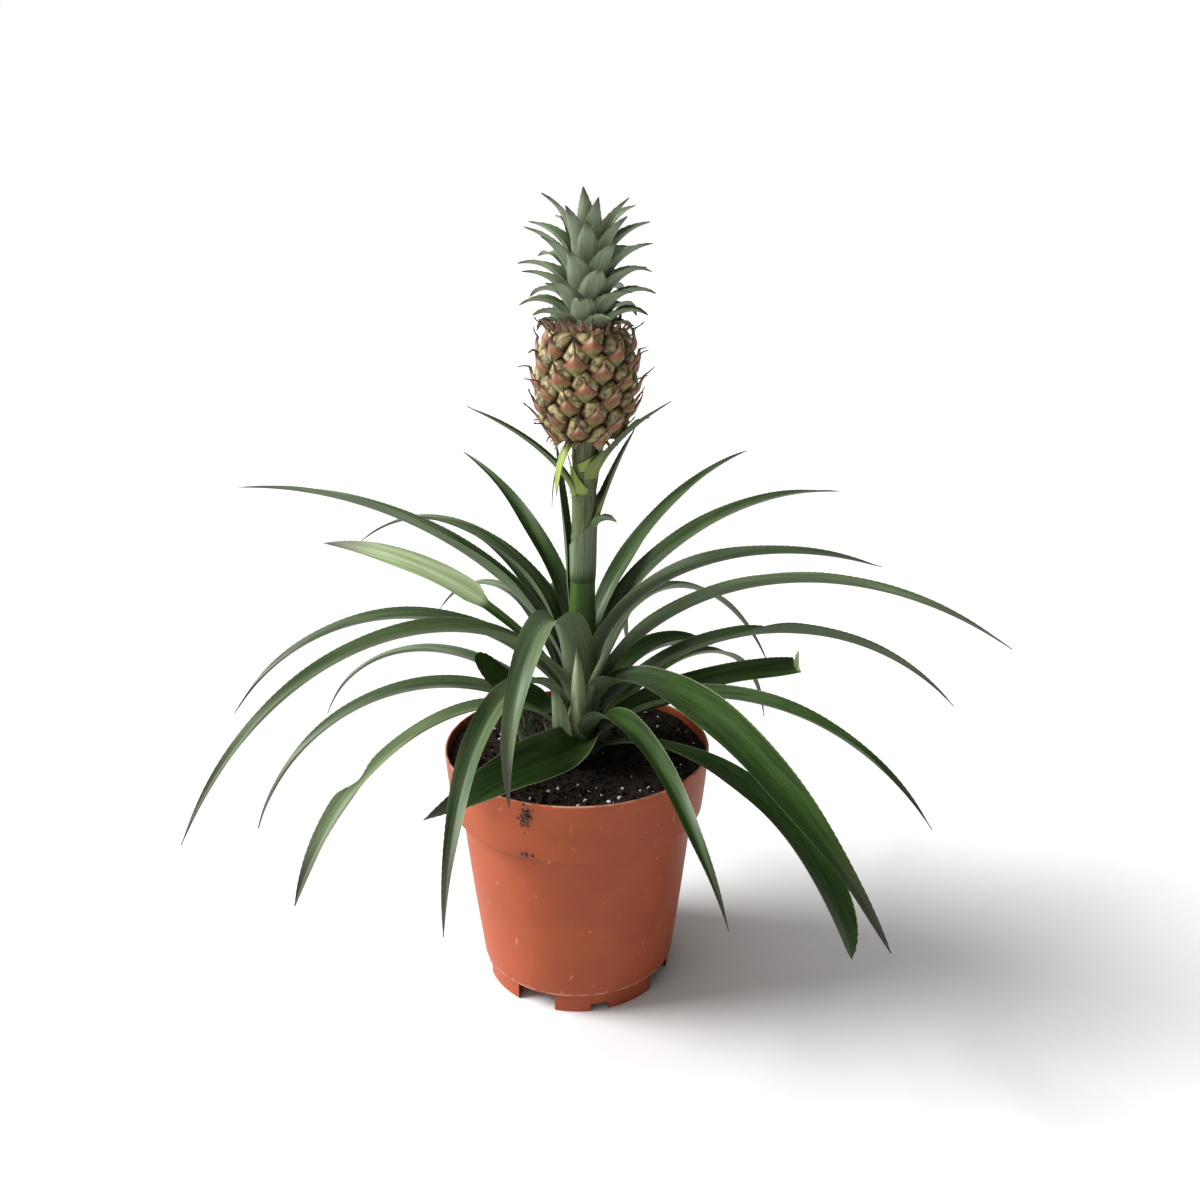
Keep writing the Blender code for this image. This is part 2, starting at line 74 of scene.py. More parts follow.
# Stem: height and radius, as in the frame
STEM = ((0.100, 0.0090), (0.120, 0.0090), (0.150, 0.0082), (0.180, 0.0068), (0.200, 0.0060),
        (0.230, 0.0056), (0.262, 0.0056), (0.2764, 0.0062))
STEM_FOOT_X, STEM_LEAN = 0.0012, 0.022
STEM_CLEARANCE = 0.5 * MM
STALK_SIDES = 48
FIRST_JOINT, JOINT_SPACING = 182, 19  # millimetres
BRACT_FOOT = 0.2084  # height at which the grey bract wraps the stalk
HANGING_OUT = 7.0 * MM  # how far from the stalk the hanging bracts start

# A leaf leaves the stem at azimuth and height (mm), climbs at slope rise and ends at slope
# fall. bend below 1 curves it mostly near its foot, and sweep turns it sideways. roll tips it
# about its length, and turn twists it after the share turn_at. Its foot lies round the stem
# by the angle lead, and it widens up to the share swell. full keeps it wide far out. channel
# is the slope of its margins. keel below 1 makes its halves steep right from the keel. foot is
# the share of its width at its foot, and sheath how far (mm) it reaches down the stem. grey,
# light and lime tint it. light is a paler green, partly the leaf's own and partly painted
# light where the leaf is lit or light shines through it.
Leaf = namedtuple("Leaf", "name azimuth height length width rise fall bend sweep roll turn "
                          "turn_at lead swell full cut channel foot sheath keel grey light lime",
                  defaults=(1, 0, 0, 0, 0.5, 0, 0.3, 1.8, False, 46, 0.72, 8, 0.42, 0, 0, 0))

LEAVES = (
    Leaf("leaf_01", 160, 165.5, 209, 17, 76, -7, 0.51, -4, 12, channel=62, grey=0.2),
    Leaf("leaf_02", 136, 154, 166, 15, 70, -40, 1.25, 27, grey=0.5),
    Leaf("leaf_03", 160, 171, 106, 18, 77, 0, 1.0, 5, grey=0.3),
    Leaf("leaf_04", 127, 179, 126, 14, 77, 13, 0.6),
    Leaf("leaf_05", 158, 151, 152, 24, 80, 1, 0.42, 0, -30, swell=1.0, full=3, foot=0.45,
         light=1.0),
    Leaf("leaf_06", 120, 145, 160, 12, 57, -48, 0.9, 12, grey=0.8),
    Leaf("leaf_07", 182, 153, 178, 17, 50, -55, 1.1, 25, lead=-8, grey=0.3),
    Leaf("leaf_08", 204, 157, 222, 18, 69, -57, 0.66, 28, lead=12, light=0.15),
    Leaf("leaf_09", 160, 136, 147, 13, 37, -70, 1.5, 20, grey=0.8),
    Leaf("leaf_10", 185, 134, 176, 16, 41, -68, 1.0, 32, lead=-8, grey=0.2, light=0.12),
    Leaf("leaf_11", 210, 132.5, 174, 18, 76, -58, 0.5, 28, full=4, light=0.36),
    Leaf("leaf_12", 255, 162, 160, 21, 82, -100, lead=4, foot=1.0, sheath=16, grey=0.3,
         light=0.12),
    Leaf("leaf_13", 248.5, 148, 187, 19, 50, -68, 0.95, 18, lead=-36, swell=0.7, foot=0.5,
         grey=0.2, light=0.06),
    Leaf("leaf_14", 233, 130, 105, 28, 12, -11, 1.0, -12, -45, lead=62, swell=0.5,
         channel=24, sheath=3),
    Leaf("leaf_15", 192, 142, 52, 17, 20, 58, 1.0, 0, -38, cut=True, channel=26),
    Leaf("leaf_16", 51, 179, 156, 13, 71, 4, 0.52, grey=0.2),
    Leaf("leaf_17", 33, 168, 176, 18, 80, -9, 0.55, -3, grey=0.2),
    Leaf("leaf_18", 345, 170, 153, 20, 80.5, -14.5, 0.66, 5, foot=1.0, sheath=16, grey=0.3),
    Leaf("leaf_19", 335, 157, 212, 18, 59, -28, 1.0, -5, -10, channel=62, grey=0.1),
    Leaf("leaf_20", 4, 143, 188.5, 17, 43, -46, 1.15, -20, turn=-45, turn_at=0.4),
    Leaf("leaf_21", 338, 130, 182, 17, 49, -52, 0.9, -10),
    Leaf("leaf_22", 20, 130, 120, 18, 28, -5, 0.6, 0, 25, cut=True),
    Leaf("leaf_23", 304, 150, 208, 29, 72, -51, 0.45, 12, lead=22, channel=24, full=2.1),
    Leaf("leaf_24", 325, 125, 171, 26, 30, -68, 0.85, -10, -8, swell=0.8, full=14, channel=30,
         foot=0.3, sheath=4),
    Leaf("leaf_25", 290, 135, 166, 17, 55, -50, 0.7, 5),
    Leaf("leaf_26", 58, 155, 206, 14, 78, -60, 0.5, -20, grey=0.3),
    Leaf("leaf_27", 46, 124, 194, 13, 37, -70, 1.0, 12, sheath=4),
    Leaf("leaf_28", 38, 136, 84, 20, 60, -34, 1.0, -12, lead=14, cut=True),
    Leaf("leaf_29", 80, 140, 168.5, 18, 48, -62, 0.9),
    Leaf("leaf_30", 94, 127, 140, 18, 40, -65, 0.9, sheath=6),
    Leaf("leaf_31", 102, 153, 169, 18, 48, -62, 0.9, -5, lead=-6),
    Leaf("heart_leaf_1", 268, 136, 49, 17, 66, 86, foot=1.0, channel=80, light=1.0, grey=1.0),
    Leaf("heart_leaf_2", 314, 143, 66, 9, 70, 60, 1.0, 12, lead=-30, channel=66, light=0.3,
         grey=1.0),
)

# Leaves on the stalk. Their broad lime-green feet wrap it.
STALK_LEAVES = (
    Leaf("stalk_leaf_1", 338, 236, 11, 9, 64, -24, 0.7, foot=1.0, sheath=5, channel=60, grey=1.0,
         light=0.4),
    Leaf("stalk_leaf_2", 148, 200, 74, 10, 85, 84, sheath=10),
    Leaf("stalk_leaf_3", 12, 238, 46, 9, 72, 62, foot=1.6, sheath=6, lime=0.8),
    Leaf("stalk_leaf_4", 180, 253, 60, 8, 72, 24, 0.45, foot=1.4, sheath=3, lime=0.5),
    Leaf("stalk_leaf_5", 336, 261, 48, 8, 66, 32, 0.6, 16, foot=1.8, sheath=3, lime=0.6),
    Leaf("stalk_leaf_6", 60, 252, 46, 7, 66, 45, foot=1.2, sheath=10, lime=0.6),
)

# A lime-green bract and a thin dark one that hang from the fruit's foot
HANGING_BRACT = Leaf("hanging_bract", 215, 274, 25, 7, -20, -84, 0.3, channel=30, foot=0.9,
                     sheath=3, full=2.4, lime=1.0)
HANGING_STRIP = Leaf("hanging_strip", 200, 275, 32, 2.2, -20, -89, 0.3, channel=30, foot=0.9,
                     sheath=3, full=2.4)

# Leaves with a broken, folded or pinched place: the share of the length where it lies, how
# wide the place is, the width left there, and what it does to the slope beyond it
PINCHES = {
    "leaf_11": (0.66, 0.04, 0.50, 0),
    "leaf_22": (0.91, 0.02, 0.40, 95),
    "leaf_28": (0.90, 0.02, 0.70, 30),
}
LATE = {"leaf_05": (0.36, 0.42), "leaf_11": (0.66, 0.58)}  # narrow by a factor up to a share
# Painted light: the blade turns a paler green beyond a share of its length.
PAINTED_LIGHT_FROM = {"leaf_05": (0.36, 0.04), "leaf_22": (0.90, 0.03)}  # pale beyond a share

# Offshoots: where they stand, and their leaves, folded round each other
OFFSHOOTS = (
    ("offshoot_1", (-0.0098, -0.0155), (
        Leaf("sheath", 215, 0, 44, 22, 89, 89, foot=0.9, channel=92, sheath=4, full=2.2,
             grey=1.0, light=0.85),
        Leaf("spear", 60, 0, 36, 16, 88, 88, foot=0.8, channel=90, sheath=4, grey=1.0,
             light=0.85),
        Leaf("side", 150, 0, 24, 8, 80, 70, foot=0.8, channel=80, sheath=4, grey=0.6))),
    ("offshoot_2", (-0.0260, -0.0010), (
        Leaf("split", 190, 0, 31, 9, 84, 60, foot=0.9, channel=84, sheath=4, grey=1.0, lime=1.0),
        Leaf("split", 10, 0, 29, 9, 82, 66, foot=0.9, channel=84, sheath=4, grey=1.0, lime=1.0),
        Leaf("stray", 320, 0, 19, 4, 78, 58, foot=0.8, channel=60, sheath=4, grey=0.6, lime=0.5),
        Leaf("stray", 100, 0, 22, 4, 78, 50, foot=0.8, channel=60, sheath=4, grey=0.6,
             lime=0.5))),
)

# Fruit, as in the frame, with a fuller barrel
FRUIT_FOOT, FRUIT_TOP = 0.2767, 0.3240
FRUIT_RADIUS, FRUIT_X = 0.0200, 0.005
FRUIT_SQUARENESS_LOW, FRUIT_SQUARENESS_HIGH = 2.5, 2.7
FRUIT_END, FRUIT_TAPER = 0.86, 0.03
EYES, GOLDEN_ANGLE, EYE_START = 52, 137.5, 20
FRUIT_COLUMNS, FRUIT_ROWS = 380, 170
DOME_HEIGHT, DOME_EDGE, JOINT_DEPTH = 3.6, 5.0, 0.4  # millimetres
BRACT_LOW, BRACT_HIGH, BRACT_WIDE = -6.4, 3.4, 5.0  # millimetres from the eye's middle
BRACT_ROWS, BRACT_COLUMNS = 15, 9
BRACT_BROADEST = 0.36  # the share of its length where a bract is broadest
BRACT_THICKNESS = 0.35 * MM
THORN_STEPS = 8
TUBE_SHARES = (1.0, 1.3)  # a tube stands beyond the end of the bract that it grows from

# Dry bracts round the fruit: count, height, range of slopes, range of lengths (mm), and where
# they start as a share of the fruit's radius
RAGS = (
    (26, FRUIT_TOP - 2.5 * MM, (55, 92), (6, 10), 0.96),
    (20, FRUIT_TOP - 0.5 * MM, (60, 100), (4, 7), 0.80),
    (24, FRUIT_FOOT + 1.0 * MM, (-14, 10), (6, 11), 0.70),
)

# Crown
CROWN_FOOT = 0.3243
CROWN_LEAVES = 44
CROWN_TILT = 38  # the leaves at the front stand up more, in degrees
CROWN_CORE = ((0, 29), (1.5, 27), (6, 14), (11, 2), (11, -0.5), (0, -0.5))  # millimetres

# Pot: radii and heights. Its rim comes from the frame, and its shoulder lies higher than there.
POT_SIDES, POT_WALL = 256, 1.2 * MM
BAND_FOOT, BAND_RADIUS, RIM_TOP, RIM_RADIUS = 0.0940, 0.0625, 0.1240, 0.0645
SHOULDER, SHOULDER_RADIUS = 0.0932, 0.0579
BODY_FOOT, BODY_RADIUS = 0.0105, 0.0489
SKIRT_TOP, SKIRT_RADIUS = 0.0092, 0.0468
FLOOR_TOP, FLOOR_THICKNESS = 0.0085, 1.5 * MM
BAND_ROUND, BODY_ROUND, SKIRT_ROUND = 0.7 * MM, 0.6 * MM, 0.4 * MM  # rounded edges
BAND_BOW, BODY_BOW = 0.15 * MM, 0.35 * MM
NOTCHES, NOTCH_DEPTH = 4, 5 * MM
NOTCH_KINDS = ((64, 25, 8.5 * MM), (14, 11, 4.0 * MM))  # azimuth, angle and height
DRAIN_HOLES, DRAIN_RADIUS, DRAIN_CIRCLE = 4, 5 * MM, 0.025
BOX_FACES = ((0, 1, 3, 2), (4, 6, 7, 5), (0, 4, 5, 1), (2, 3, 7, 6), (0, 2, 6, 4), (1, 5, 7, 3))

# Soil, with the tuft of roots that spills over the rim
SOIL_TOP, SOIL_FOOT = 0.1170, 0.104
SOIL_RADIUS, SOIL_FOOT_RADIUS = 0.0626, 0.0615
SOIL_RINGS, SOIL_SIDES = 60, 220
CRUMBS, BIG_PERLITE, SMALL_PERLITE, ROOTS = 900, 60, 70, 46
ROOT_STEPS, ROOT_STEP, ROOT_REACH = 14, 0.9 * MM, 0.0605
CLUMP_AZIMUTH, CLUMP_FIBRES, CLUMP_GRAINS, FALLEN_GRAINS = 250, 14, 97, 7
GOLDEN = (1 + 5 ** 0.5) / 2
ICO_CORNERS = np.array([np.roll((short, long, 0), turn) for turn in range(3)
                        for long in (GOLDEN, -GOLDEN) for short in (-1, 1)])
ICO_FACES = ((0, 11, 5), (0, 5, 1), (0, 1, 7), (0, 7, 10), (0, 10, 11), (1, 5, 9), (5, 11, 4),
             (11, 10, 2), (10, 7, 6), (7, 1, 8), (3, 9, 4), (3, 4, 2), (3, 2, 6), (3, 6, 8),
             (3, 8, 9), (4, 9, 5), (2, 4, 11), (6, 2, 10), (8, 6, 7), (9, 8, 1))

# Colours: the dark and the pale end of a streak, and single ones
LEAF_GREENS = ((0.011, 0.031, 0.003), (0.030, 0.068, 0.009), (0.066, 0.110, 0.032),
               (0.100, 0.132, 0.075))  # dark, middle, pale and the back
CROWN_GREENS = ((0.060, 0.100, 0.036), (0.130, 0.175, 0.090), (0.24, 0.285, 0.19),
                (0.225, 0.270, 0.180))
GREY = (0.060, 0.090, 0.045), (0.165, 0.208, 0.132)
# The paler greens of the light tint: partly the leaves' own, partly painted light.
PALE_AND_PAINTED_LIGHT_GREENS = (0.22, 0.29, 0.13), (0.38, 0.46, 0.27)
LIME = (0.20, 0.28, 0.045), (0.34, 0.42, 0.11)
MARGIN = (0.26, 0.30, 0.16)
DRY_TIP = (0.070, 0.060, 0.050)
STALK_DARK, STALK_PALE = (0.050, 0.070, 0.018), (0.140, 0.165, 0.080)
STALK_OLIVE, STALK_BARE = (0.080, 0.110, 0.022), (0.035, 0.085, 0.008)
EYE_DARK, EYE_PALE, EYE_BROWN = (0.085, 0.075, 0.022), (0.38, 0.31, 0.15), (0.17, 0.09, 0.035)
EYE_JOINT, EYE_SCAR = (0.030, 0.014, 0.007), (0.10, 0.05, 0.025)
BRACT_RAMP = ((0.10, (0.13, 0.13, 0.040)), (0.36, (0.27, 0.24, 0.10)),
              (0.50, (0.28, 0.120, 0.062)), (0.62, (0.29, 0.125, 0.070)),
              (0.76, (0.38, 0.25, 0.16)), (0.93, (0.20, 0.11, 0.07)))
BRACT_STREAK, BRACT_MARGIN = (0.13, 0.055, 0.028), (0.075, 0.028, 0.015)
BRACT_THORN = (0.045, 0.028, 0.022)
RAG_DARK, RAG_PALE, RAG_TIP = (0.10, 0.055, 0.035), (0.30, 0.18, 0.12), (0.09, 0.055, 0.035)
POT_DARK, POT_PALE = (0.318, 0.062, 0.020), (0.364, 0.077, 0.026)
POT_SCUFF, POT_SPOT = (0.52, 0.25, 0.17), (0.60, 0.36, 0.26)
POT_WORN, POT_DIRT = (0.58, 0.33, 0.24), (0.12, 0.05, 0.03)
SOIL_COLOURS = (0.006, 0.0048, 0.004), (0.030, 0.022, 0.017)
PERLITE_COLOURS = (0.45, 0.44, 0.40), (0.80, 0.79, 0.75)
FIBRE_COLOURS = (0.035, 0.020, 0.014), (0.13, 0.085, 0.06)
FLOOR_COLOUR, WHITE = (0.72, 0.72, 0.72), (1, 1, 1)

# Camera and light
CAMERA_PLACE = (0.0113, -0.52, 0.3803)
CAMERA_DOWN = 19.29
CAMERA_LENS, SENSOR = 34.89, 36
BRIGHT_SIDE = (-0.78, 0.0, 0.62)
SUN_SOURCE, SUN_SOFTNESS, SUN_STRENGTH = (-1.0, 0.0, 0.82), 31, 5.5
FLOOR_SIZE = 12


# ---- meshes and pieces

def smooth_step(value):
    value = np.clip(value, 0, 1)
    return value * value * (3 - 2 * value)


def unit(vectors):
    return vectors / np.linalg.norm(vectors, axis=-1, keepdims=True)


def circle(sides):
    """Evenly spaced angles in radians."""
    return np.arange(sides) * 2 * pi / sides


def together(*values):
    """Values spread over one grid and stacked into vectors."""
    return np.stack(np.broadcast_arrays(*values), axis=-1)


def polar(radius, azimuth, height, centre=(0, 0)):
    """Points round an upright axis. The azimuth is in radians."""
    return together(centre[0] + radius * np.cos(azimuth), centre[1] + radius * np.sin(azimuth),
                    height)


def place_object(name, data):
    item = bpy.data.objects.new(name, data)
    bpy.context.scene.collection.objects.link(item)
    return item


def smooth(mesh, sharp):
    """Shade a mesh smooth, but for edges sharper than an angle in degrees."""
    mesh.shade_smooth()
    mesh.set_sharp_from_angle(angle=radians(sharp))


class Shape:
    """Points, faces and named three-number attributes, gathered before they become a piece."""

    def __init__(self):
        self.points = []
        self.faces = []
        self.values = {}
        self.count = 0

    def add(self, points, faces, **values):
        """Add points in any arrangement. An attribute spreads over those it doesn't list."""
        points = np.asarray(points)
        self.faces += [tuple(int(corner) + self.count for corner in face) for face in faces]
        self.points.append(points.reshape(-1, 3))
        for name, value in values.items():
            value = np.broadcast_to(value, points.shape).reshape(-1, 3)
            self.values.setdefault(name, []).append(value)
        self.count += points.size // 3

    def dress(self, name, node, slot, material, sharp=50):
        """Put the shape into the scene as a piece, in place of a node of the frame."""
        mesh = bpy.data.meshes.new(name)
        mesh.from_pydata(np.vstack(self.points).tolist(), [], self.faces)
        for key, parts in self.values.items():
            layer = mesh.attributes.new(key, "FLOAT_VECTOR", "POINT")
            layer.data.foreach_set("vector", np.vstack(parts).astype(np.float32).ravel())
        mesh.materials.append(material)
        smooth(mesh, sharp)
        piece = place_object(name, mesh)
        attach(piece, "root")
        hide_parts(node)
        return piece


def grid_faces(index, closed=False, flip=False):
    """Quads over a grid of point numbers. closed joins the last column to the first."""
    if closed:
        index = np.hstack([index, index[:, :1]])
    corners = (index[:-1, :-1], index[1:, :-1], index[1:, 1:], index[:-1, 1:])
    faces = np.stack(corners, axis=-1).reshape(-1, 4)
    return [tuple(face[::-1] if flip else face) for face in faces]


def tube_faces(rows, sides, flip=False):
    """Faces of a tube of rings, with a flat end at its first and last ring."""
    index = np.arange(rows * sides).reshape(rows, sides)
    ends = (index[0], index[-1][::-1])
    return (grid_faces(index, closed=True, flip=flip)
            + [tuple(end[::-1] if flip else end) for end in ends])


def sheet_faces(rows, columns, flip=False):
    """Faces of a thin closed sheet, whose two sides share the points of its long margins."""
    top = np.arange(rows * columns).reshape(rows, columns)
    bottom = top.copy()
    bottom[:, 1:-1] = rows * columns + np.arange(rows * (columns - 2)).reshape(rows, -1)
    faces = grid_faces(top, flip=flip) + grid_faces(bottom, flip=not flip)
    for row, turned in ((0, flip), (rows - 1, not flip)):
        for i in range(columns - 1):
            face = [top[row, i], top[row, i + 1], bottom[row, i + 1], bottom[row, i]]
            kept = [corner for n, corner in enumerate(face) if corner not in face[:n]]
            faces.append(tuple(kept[::-1] if turned else kept))
    return faces


def both_sides(upper, lower):
    """Values for a sheet's upper points, then for the lower ones, which skip the margins."""
    return np.vstack([upper.reshape(-1, 3), lower[:, 1:-1].reshape(-1, 3)])


def turned_shape(profile, sides, centre=(0, 0)):
    """A body turned from a profile of (radius, height), whose two ends lie on the axis."""
    rings = np.array(profile[1:-1])
    points = polar(rings[:, :1], circle(sides), rings[:, 1:], centre).reshape(-1, 3)
    index = np.arange(len(points)).reshape(len(rings), sides)
    faces = grid_faces(index, closed=True)
    for ring, (_, height) in ((index[0], profile[0]), (index[-1], profile[-1])):
        faces += [(len(points), second, first) for first, second in zip(ring, np.roll(ring, -1))]
        points = np.vstack([points, (*centre, height)])
    return points, faces


# ---- blades

def stem_x(height):
    return STEM_FOOT_X + STEM_LEAN * np.maximum(0, height - STEM[1][0])


def stem_radius(height):
    return np.interp(height, *zip(*STEM))


def round_stem(radius, azimuth, height):
    """Points round the stem's axis. The azimuth is in radians."""
    return polar(radius, azimuth, height, (stem_x(height), 0))


def blade_width(leaf, share):
    """Half the blade's width at each share of its length."""
    widen = leaf.foot + (1 - leaf.foot) * smooth_step(share / leaf.swell)
    share = np.clip(share, 0, 1)
    if leaf.cut:
        narrow = (1 - CUT_NARROWING * share ** 3) * (1 - share ** 16) ** 0.5
    else:
        narrow = (1 - share ** leaf.full) ** 0.9
    half = leaf.width * MM / 2 * widen * narrow
    if leaf.name in PINCHES:
        place, spread, left, lift = PINCHES[leaf.name]
        beyond = smooth_step((share - place) / spread)
        near = np.exp(-((share - place) / spread) ** 2)
        half = half * (1 - (1 - left) * (beyond if lift else near))
    if leaf.name in LATE:
        start, narrow = LATE[leaf.name]
        half = half * (narrow + (1 - narrow) * smooth_step((share - start) / 0.07))
    return np.maximum(half, TIP_WIDTH / 2)


def blade_slope(leaf, share, run):
    """Slope of the blade in degrees. Below its foot it turns upright, along the stem."""
    slope = leaf.rise + (leaf.fall - leaf.rise) * np.clip(share, 0, 1) ** leaf.bend
    if leaf.name in PINCHES:
        place, spread, _, lift = PINCHES[leaf.name]
        slope = slope + lift * smooth_step((share - place) / spread)
    if leaf.sheath:
        slope = slope + (UPRIGHT - leaf.rise) * smooth_step(-run / (leaf.sheath * MM))
    return slope


def blade_frames(leaf, foot, seed):
    """Centre, side, upward and forward vectors along a blade, from its sheath's end to its tip,
    with the distance from its foot and the share of its length."""
    length, below = leaf.length * MM, leaf.sheath * MM
    count = max(12, round((length + below) / STATION))
    run = np.linspace(-below, length, count + 1)
    share = run / length
    slope = np.radians(blade_slope(leaf, share, run))
    heading = np.radians(leaf.azimuth + leaf.sweep * np.clip(share, 0, 1) ** 1.5)
    along = polar(np.cos(slope), heading, np.sin(slope))
    facing = heading + np.radians(leaf.lead) * (1 - smooth_step(share / DRAPE_SHARE))
    side = polar(1, facing + pi / 2, 0)
    side = unit(side - along * np.sum(side * along, axis=-1, keepdims=True))
    up = np.cross(along, side)
    roll = np.radians(leaf.roll * smooth_step(share / ROLL_SHARE)
                      + leaf.turn * smooth_step((share - leaf.turn_at) / TURN_SHARE))
    wobble = WOBBLE * np.sin(share * 9 + seed * 2.1) * smooth_step(share / 0.3)
    roll = (roll + wobble)[:, None]
    step = (along[1:] + along[:-1]) / 2 * (run[1] - run[0])
    centre = np.vstack([np.zeros(3), np.cumsum(step, axis=0)])
    start = [np.interp(0, run, centre[:, axis]) for axis in range(3)]
    return (centre - start + foot, side * np.cos(roll) + up * np.sin(roll),
            up * np.cos(roll) - side * np.sin(roll), along, run, share)


def blade_section(across, curl, half, power):
    """Slope, sideways place and height of each point across a blade, row by row.

    With a power of 1 the section is an arc. Below it, it is a channel, steep near its keel.
    """
    fine = np.linspace(0, 1, 41)
    slope = curl[:, None] * fine ** power[:, None]
    steps = np.diff(fine) * half[:, None]
    middle = (slope[:, 1:] + slope[:, :-1]) / 2
    none = np.zeros((len(half), 1))
    level = np.hstack([none, np.cumsum(steps * np.cos(middle), axis=1)])
    rise = np.hstack([none, np.cumsum(steps * np.sin(middle), axis=1)])
    rows = np.array([[np.interp(np.abs(across), fine, values) for values in row]
                     for row in zip(slope, level, rise)])
    return rows[:, 0] * np.sign(across), rows[:, 1] * np.sign(across), rows[:, 2]


def blade_tint_and_painted_light(leaf, share):
    """How grey, light (partly painted light) and lime-green the blade is along its length."""
    light, lime = leaf.light, leaf.lime
    if leaf is not HANGING_BRACT:
        lime = lime * (1 - smooth_step((share - 0.06) / 0.20))
    # Painted light: beyond a share of its length, the blade turns a paler green.
    if leaf.name in PAINTED_LIGHT_FROM:
        start, spread = PAINTED_LIGHT_FROM[leaf.name]
        light = smooth_step((share - start) / spread)
    high = smooth_step((leaf.height - 125) / 40) * (leaf.lime == 0)
    grey = np.maximum(leaf.grey, 0.8 * high * (1 - smooth_step(share / 0.3)))
    return together(grey, light, lime)


def add_blade(shape, leaf, foot, seed, clasp, thickness=THICKNESS, teeth=TEETH, columns=COLUMNS):
    """Add a closed, thin, channelled blade, whose foot wraps a radius of clasp."""
    centre, side, up, along, run, share = blade_frames(leaf, foot, seed)
    half = blade_width(leaf, share)
    across = np.linspace(-1, 1, columns)
    settled = smooth_step(share / CLASP_SHARE)
    open_curl = radians(leaf.channel)
    foot_curl = np.clip(half / clasp, open_curl, MOST_CURL)
    curl = foot_curl + (open_curl - foot_curl) * settled
    section = blade_section(across, curl, half, 1 - (1 - leaf.keel) * settled)
    angle, level, rise = (part[..., None] for part in section)
    centre, side, up, along = (part[:, None] for part in (centre, side, up, along))
    outward = side * np.cos(angle) + up * np.sin(angle)
    inner = up * np.cos(angle) - side * np.sin(angle)
    tooth = np.resize(teeth, len(run)) * smooth_step((share - 0.08) / 0.1)
    tooth = tooth * np.clip(half / (4 * MM), 0, 1)
    edge = np.zeros((len(run), columns, 1))
    edge[:, 0, 0], edge[:, -1, 0] = -tooth, tooth
    lean = np.abs(edge) * TOOTH_LEAN / teeth[-1]
    run, share, half = run[:, None], share[:, None], half[:, None]
    ripple = RIPPLE * np.sin(run / RIPPLE_LENGTH + seed + across * 1.7) * across ** 2
    ripple = ripple * smooth_step(share * 4)
    thick = thickness / 2 * (1 - np.abs(across) ** 3) * (0.55 + 0.45 * (1 - share ** 2))
    thick = np.minimum(thick, half * 0.4)[..., None]
    sheet = centre + side * level + up * rise + outward * edge + along * lean
    sheet = sheet + inner * ripple[..., None]
    place = together(across * half / MM, run / MM, seed)
    green = leaf.cut or leaf.length < TINY or leaf.full > BLUNT
    reach = share * (GREEN_END if green else 1)
    tint = np.broadcast_to(blade_tint_and_painted_light(leaf, share), sheet.shape)
    shape.add(both_sides(sheet + inner * thick, sheet - inner * thick),
              sheet_faces(len(run), columns), place=both_sides(place, place),
              blade=both_sides(together(across, reach, 0), together(across, reach, 1)),
              tint=both_sides(tint, tint))


def add_leaf(leaf, seed, material):
    """A leaf on the stem. Lower leaves clasp the ones above from further out."""
    height = leaf.height * MM
    radius = stem_radius(height)
    out = radius + STEM_CLEARANCE + THICKNESS / 2
    out += max(0, TOP_LEAF_HEIGHT - leaf.height) * SHEATH_SPREAD * MM
    shape = Shape()
    foot = round_stem(out, radians(leaf.azimuth + leaf.lead), height)
    add_blade(shape, leaf, foot, seed, radius + 1 * MM)
    shape.dress(leaf.name + "_blade", leaf.name, "leaf", material)


# ---- stalk and offshoots

def make_stalk(material):
    """The stem as a ribbed tube with a slight swelling at each joint."""
    angle = circle(STALK_SIDES)
    height = np.arange(STEM[0][0], STEM[-1][0] + 0.5 * MM, 1 * MM)[:, None]
    joint = (height / MM - FIRST_JOINT) % JOINT_SPACING / JOINT_SPACING
    radius = stem_radius(height) + 0.35 * MM * np.exp(-((joint - 0.5) / 0.06) ** 2)
    radius = radius + 0.04 * MM * np.sin(9 * angle + height * 40) + 0.03 * MM * np.sin(23 * angle)
    shape = Shape()
    shape.add(round_stem(radius, angle, height), tube_faces(len(height), STALK_SIDES, flip=True),
              place=together(angle * 6, height / MM, 77))
    shape.dress("stalk", "stem", "stem", material)


def add_collar(node, low, highs, azimuths, flare, tint, material):
    """A leaf's broad foot: a thin sheet wrapped round the stalk, with a slanting upper edge."""
    rows, columns = 14, 25
    share = np.linspace(0, 1, columns)
    rise = np.linspace(0, 1, rows)[:, None]
    azimuth = np.radians(azimuths[0] + (azimuths[1] - azimuths[0]) * share)
    height = low + (np.interp(share, np.linspace(0, 1, len(highs)), highs) - low) * rise
    edge = np.abs(2 * share - 1)
    radius = stem_radius(height) + 0.75 * MM + flare * rise ** 3 * edge ** 2
    radius = radius - 0.5 * MM * (edge ** 6 + (1 - rise) ** 6)
    inside = radius - 0.4 * MM * (1 - edge ** 8) * (1 - (2 * rise - 1) ** 8)
    front = np.arange(rows * columns).reshape(rows, columns)
    back = front.copy()
    back[1:-1, 1:-1] = front.size + np.arange((rows - 2) * (columns - 2)).reshape(rows - 2, -1)
    fade = smooth_step(rise / 0.35)[..., None] if tint[0] else 1

    def gather(outer, inner=None):
        """Values of the front, then those of the back, which shares the front's border."""
        outer = np.broadcast_to(outer, (rows, columns, 3))
        inner = outer if inner is None else inner
        return np.vstack([outer.reshape(-1, 3), inner[1:-1, 1:-1].reshape(-1, 3)])

    shape = Shape()
    shape.add(gather(round_stem(radius, azimuth, height), round_stem(inside, azimuth, height)),
              grid_faces(front, flip=True) + grid_faces(back),
              blade=gather(together(2 * share - 1, 0.5 * rise, 0)), tint=gather(fade * tint),
              place=gather(together(azimuth * 6, height / MM, 90)))
    shape.dress(node + "_collar", node, "leaf", material)


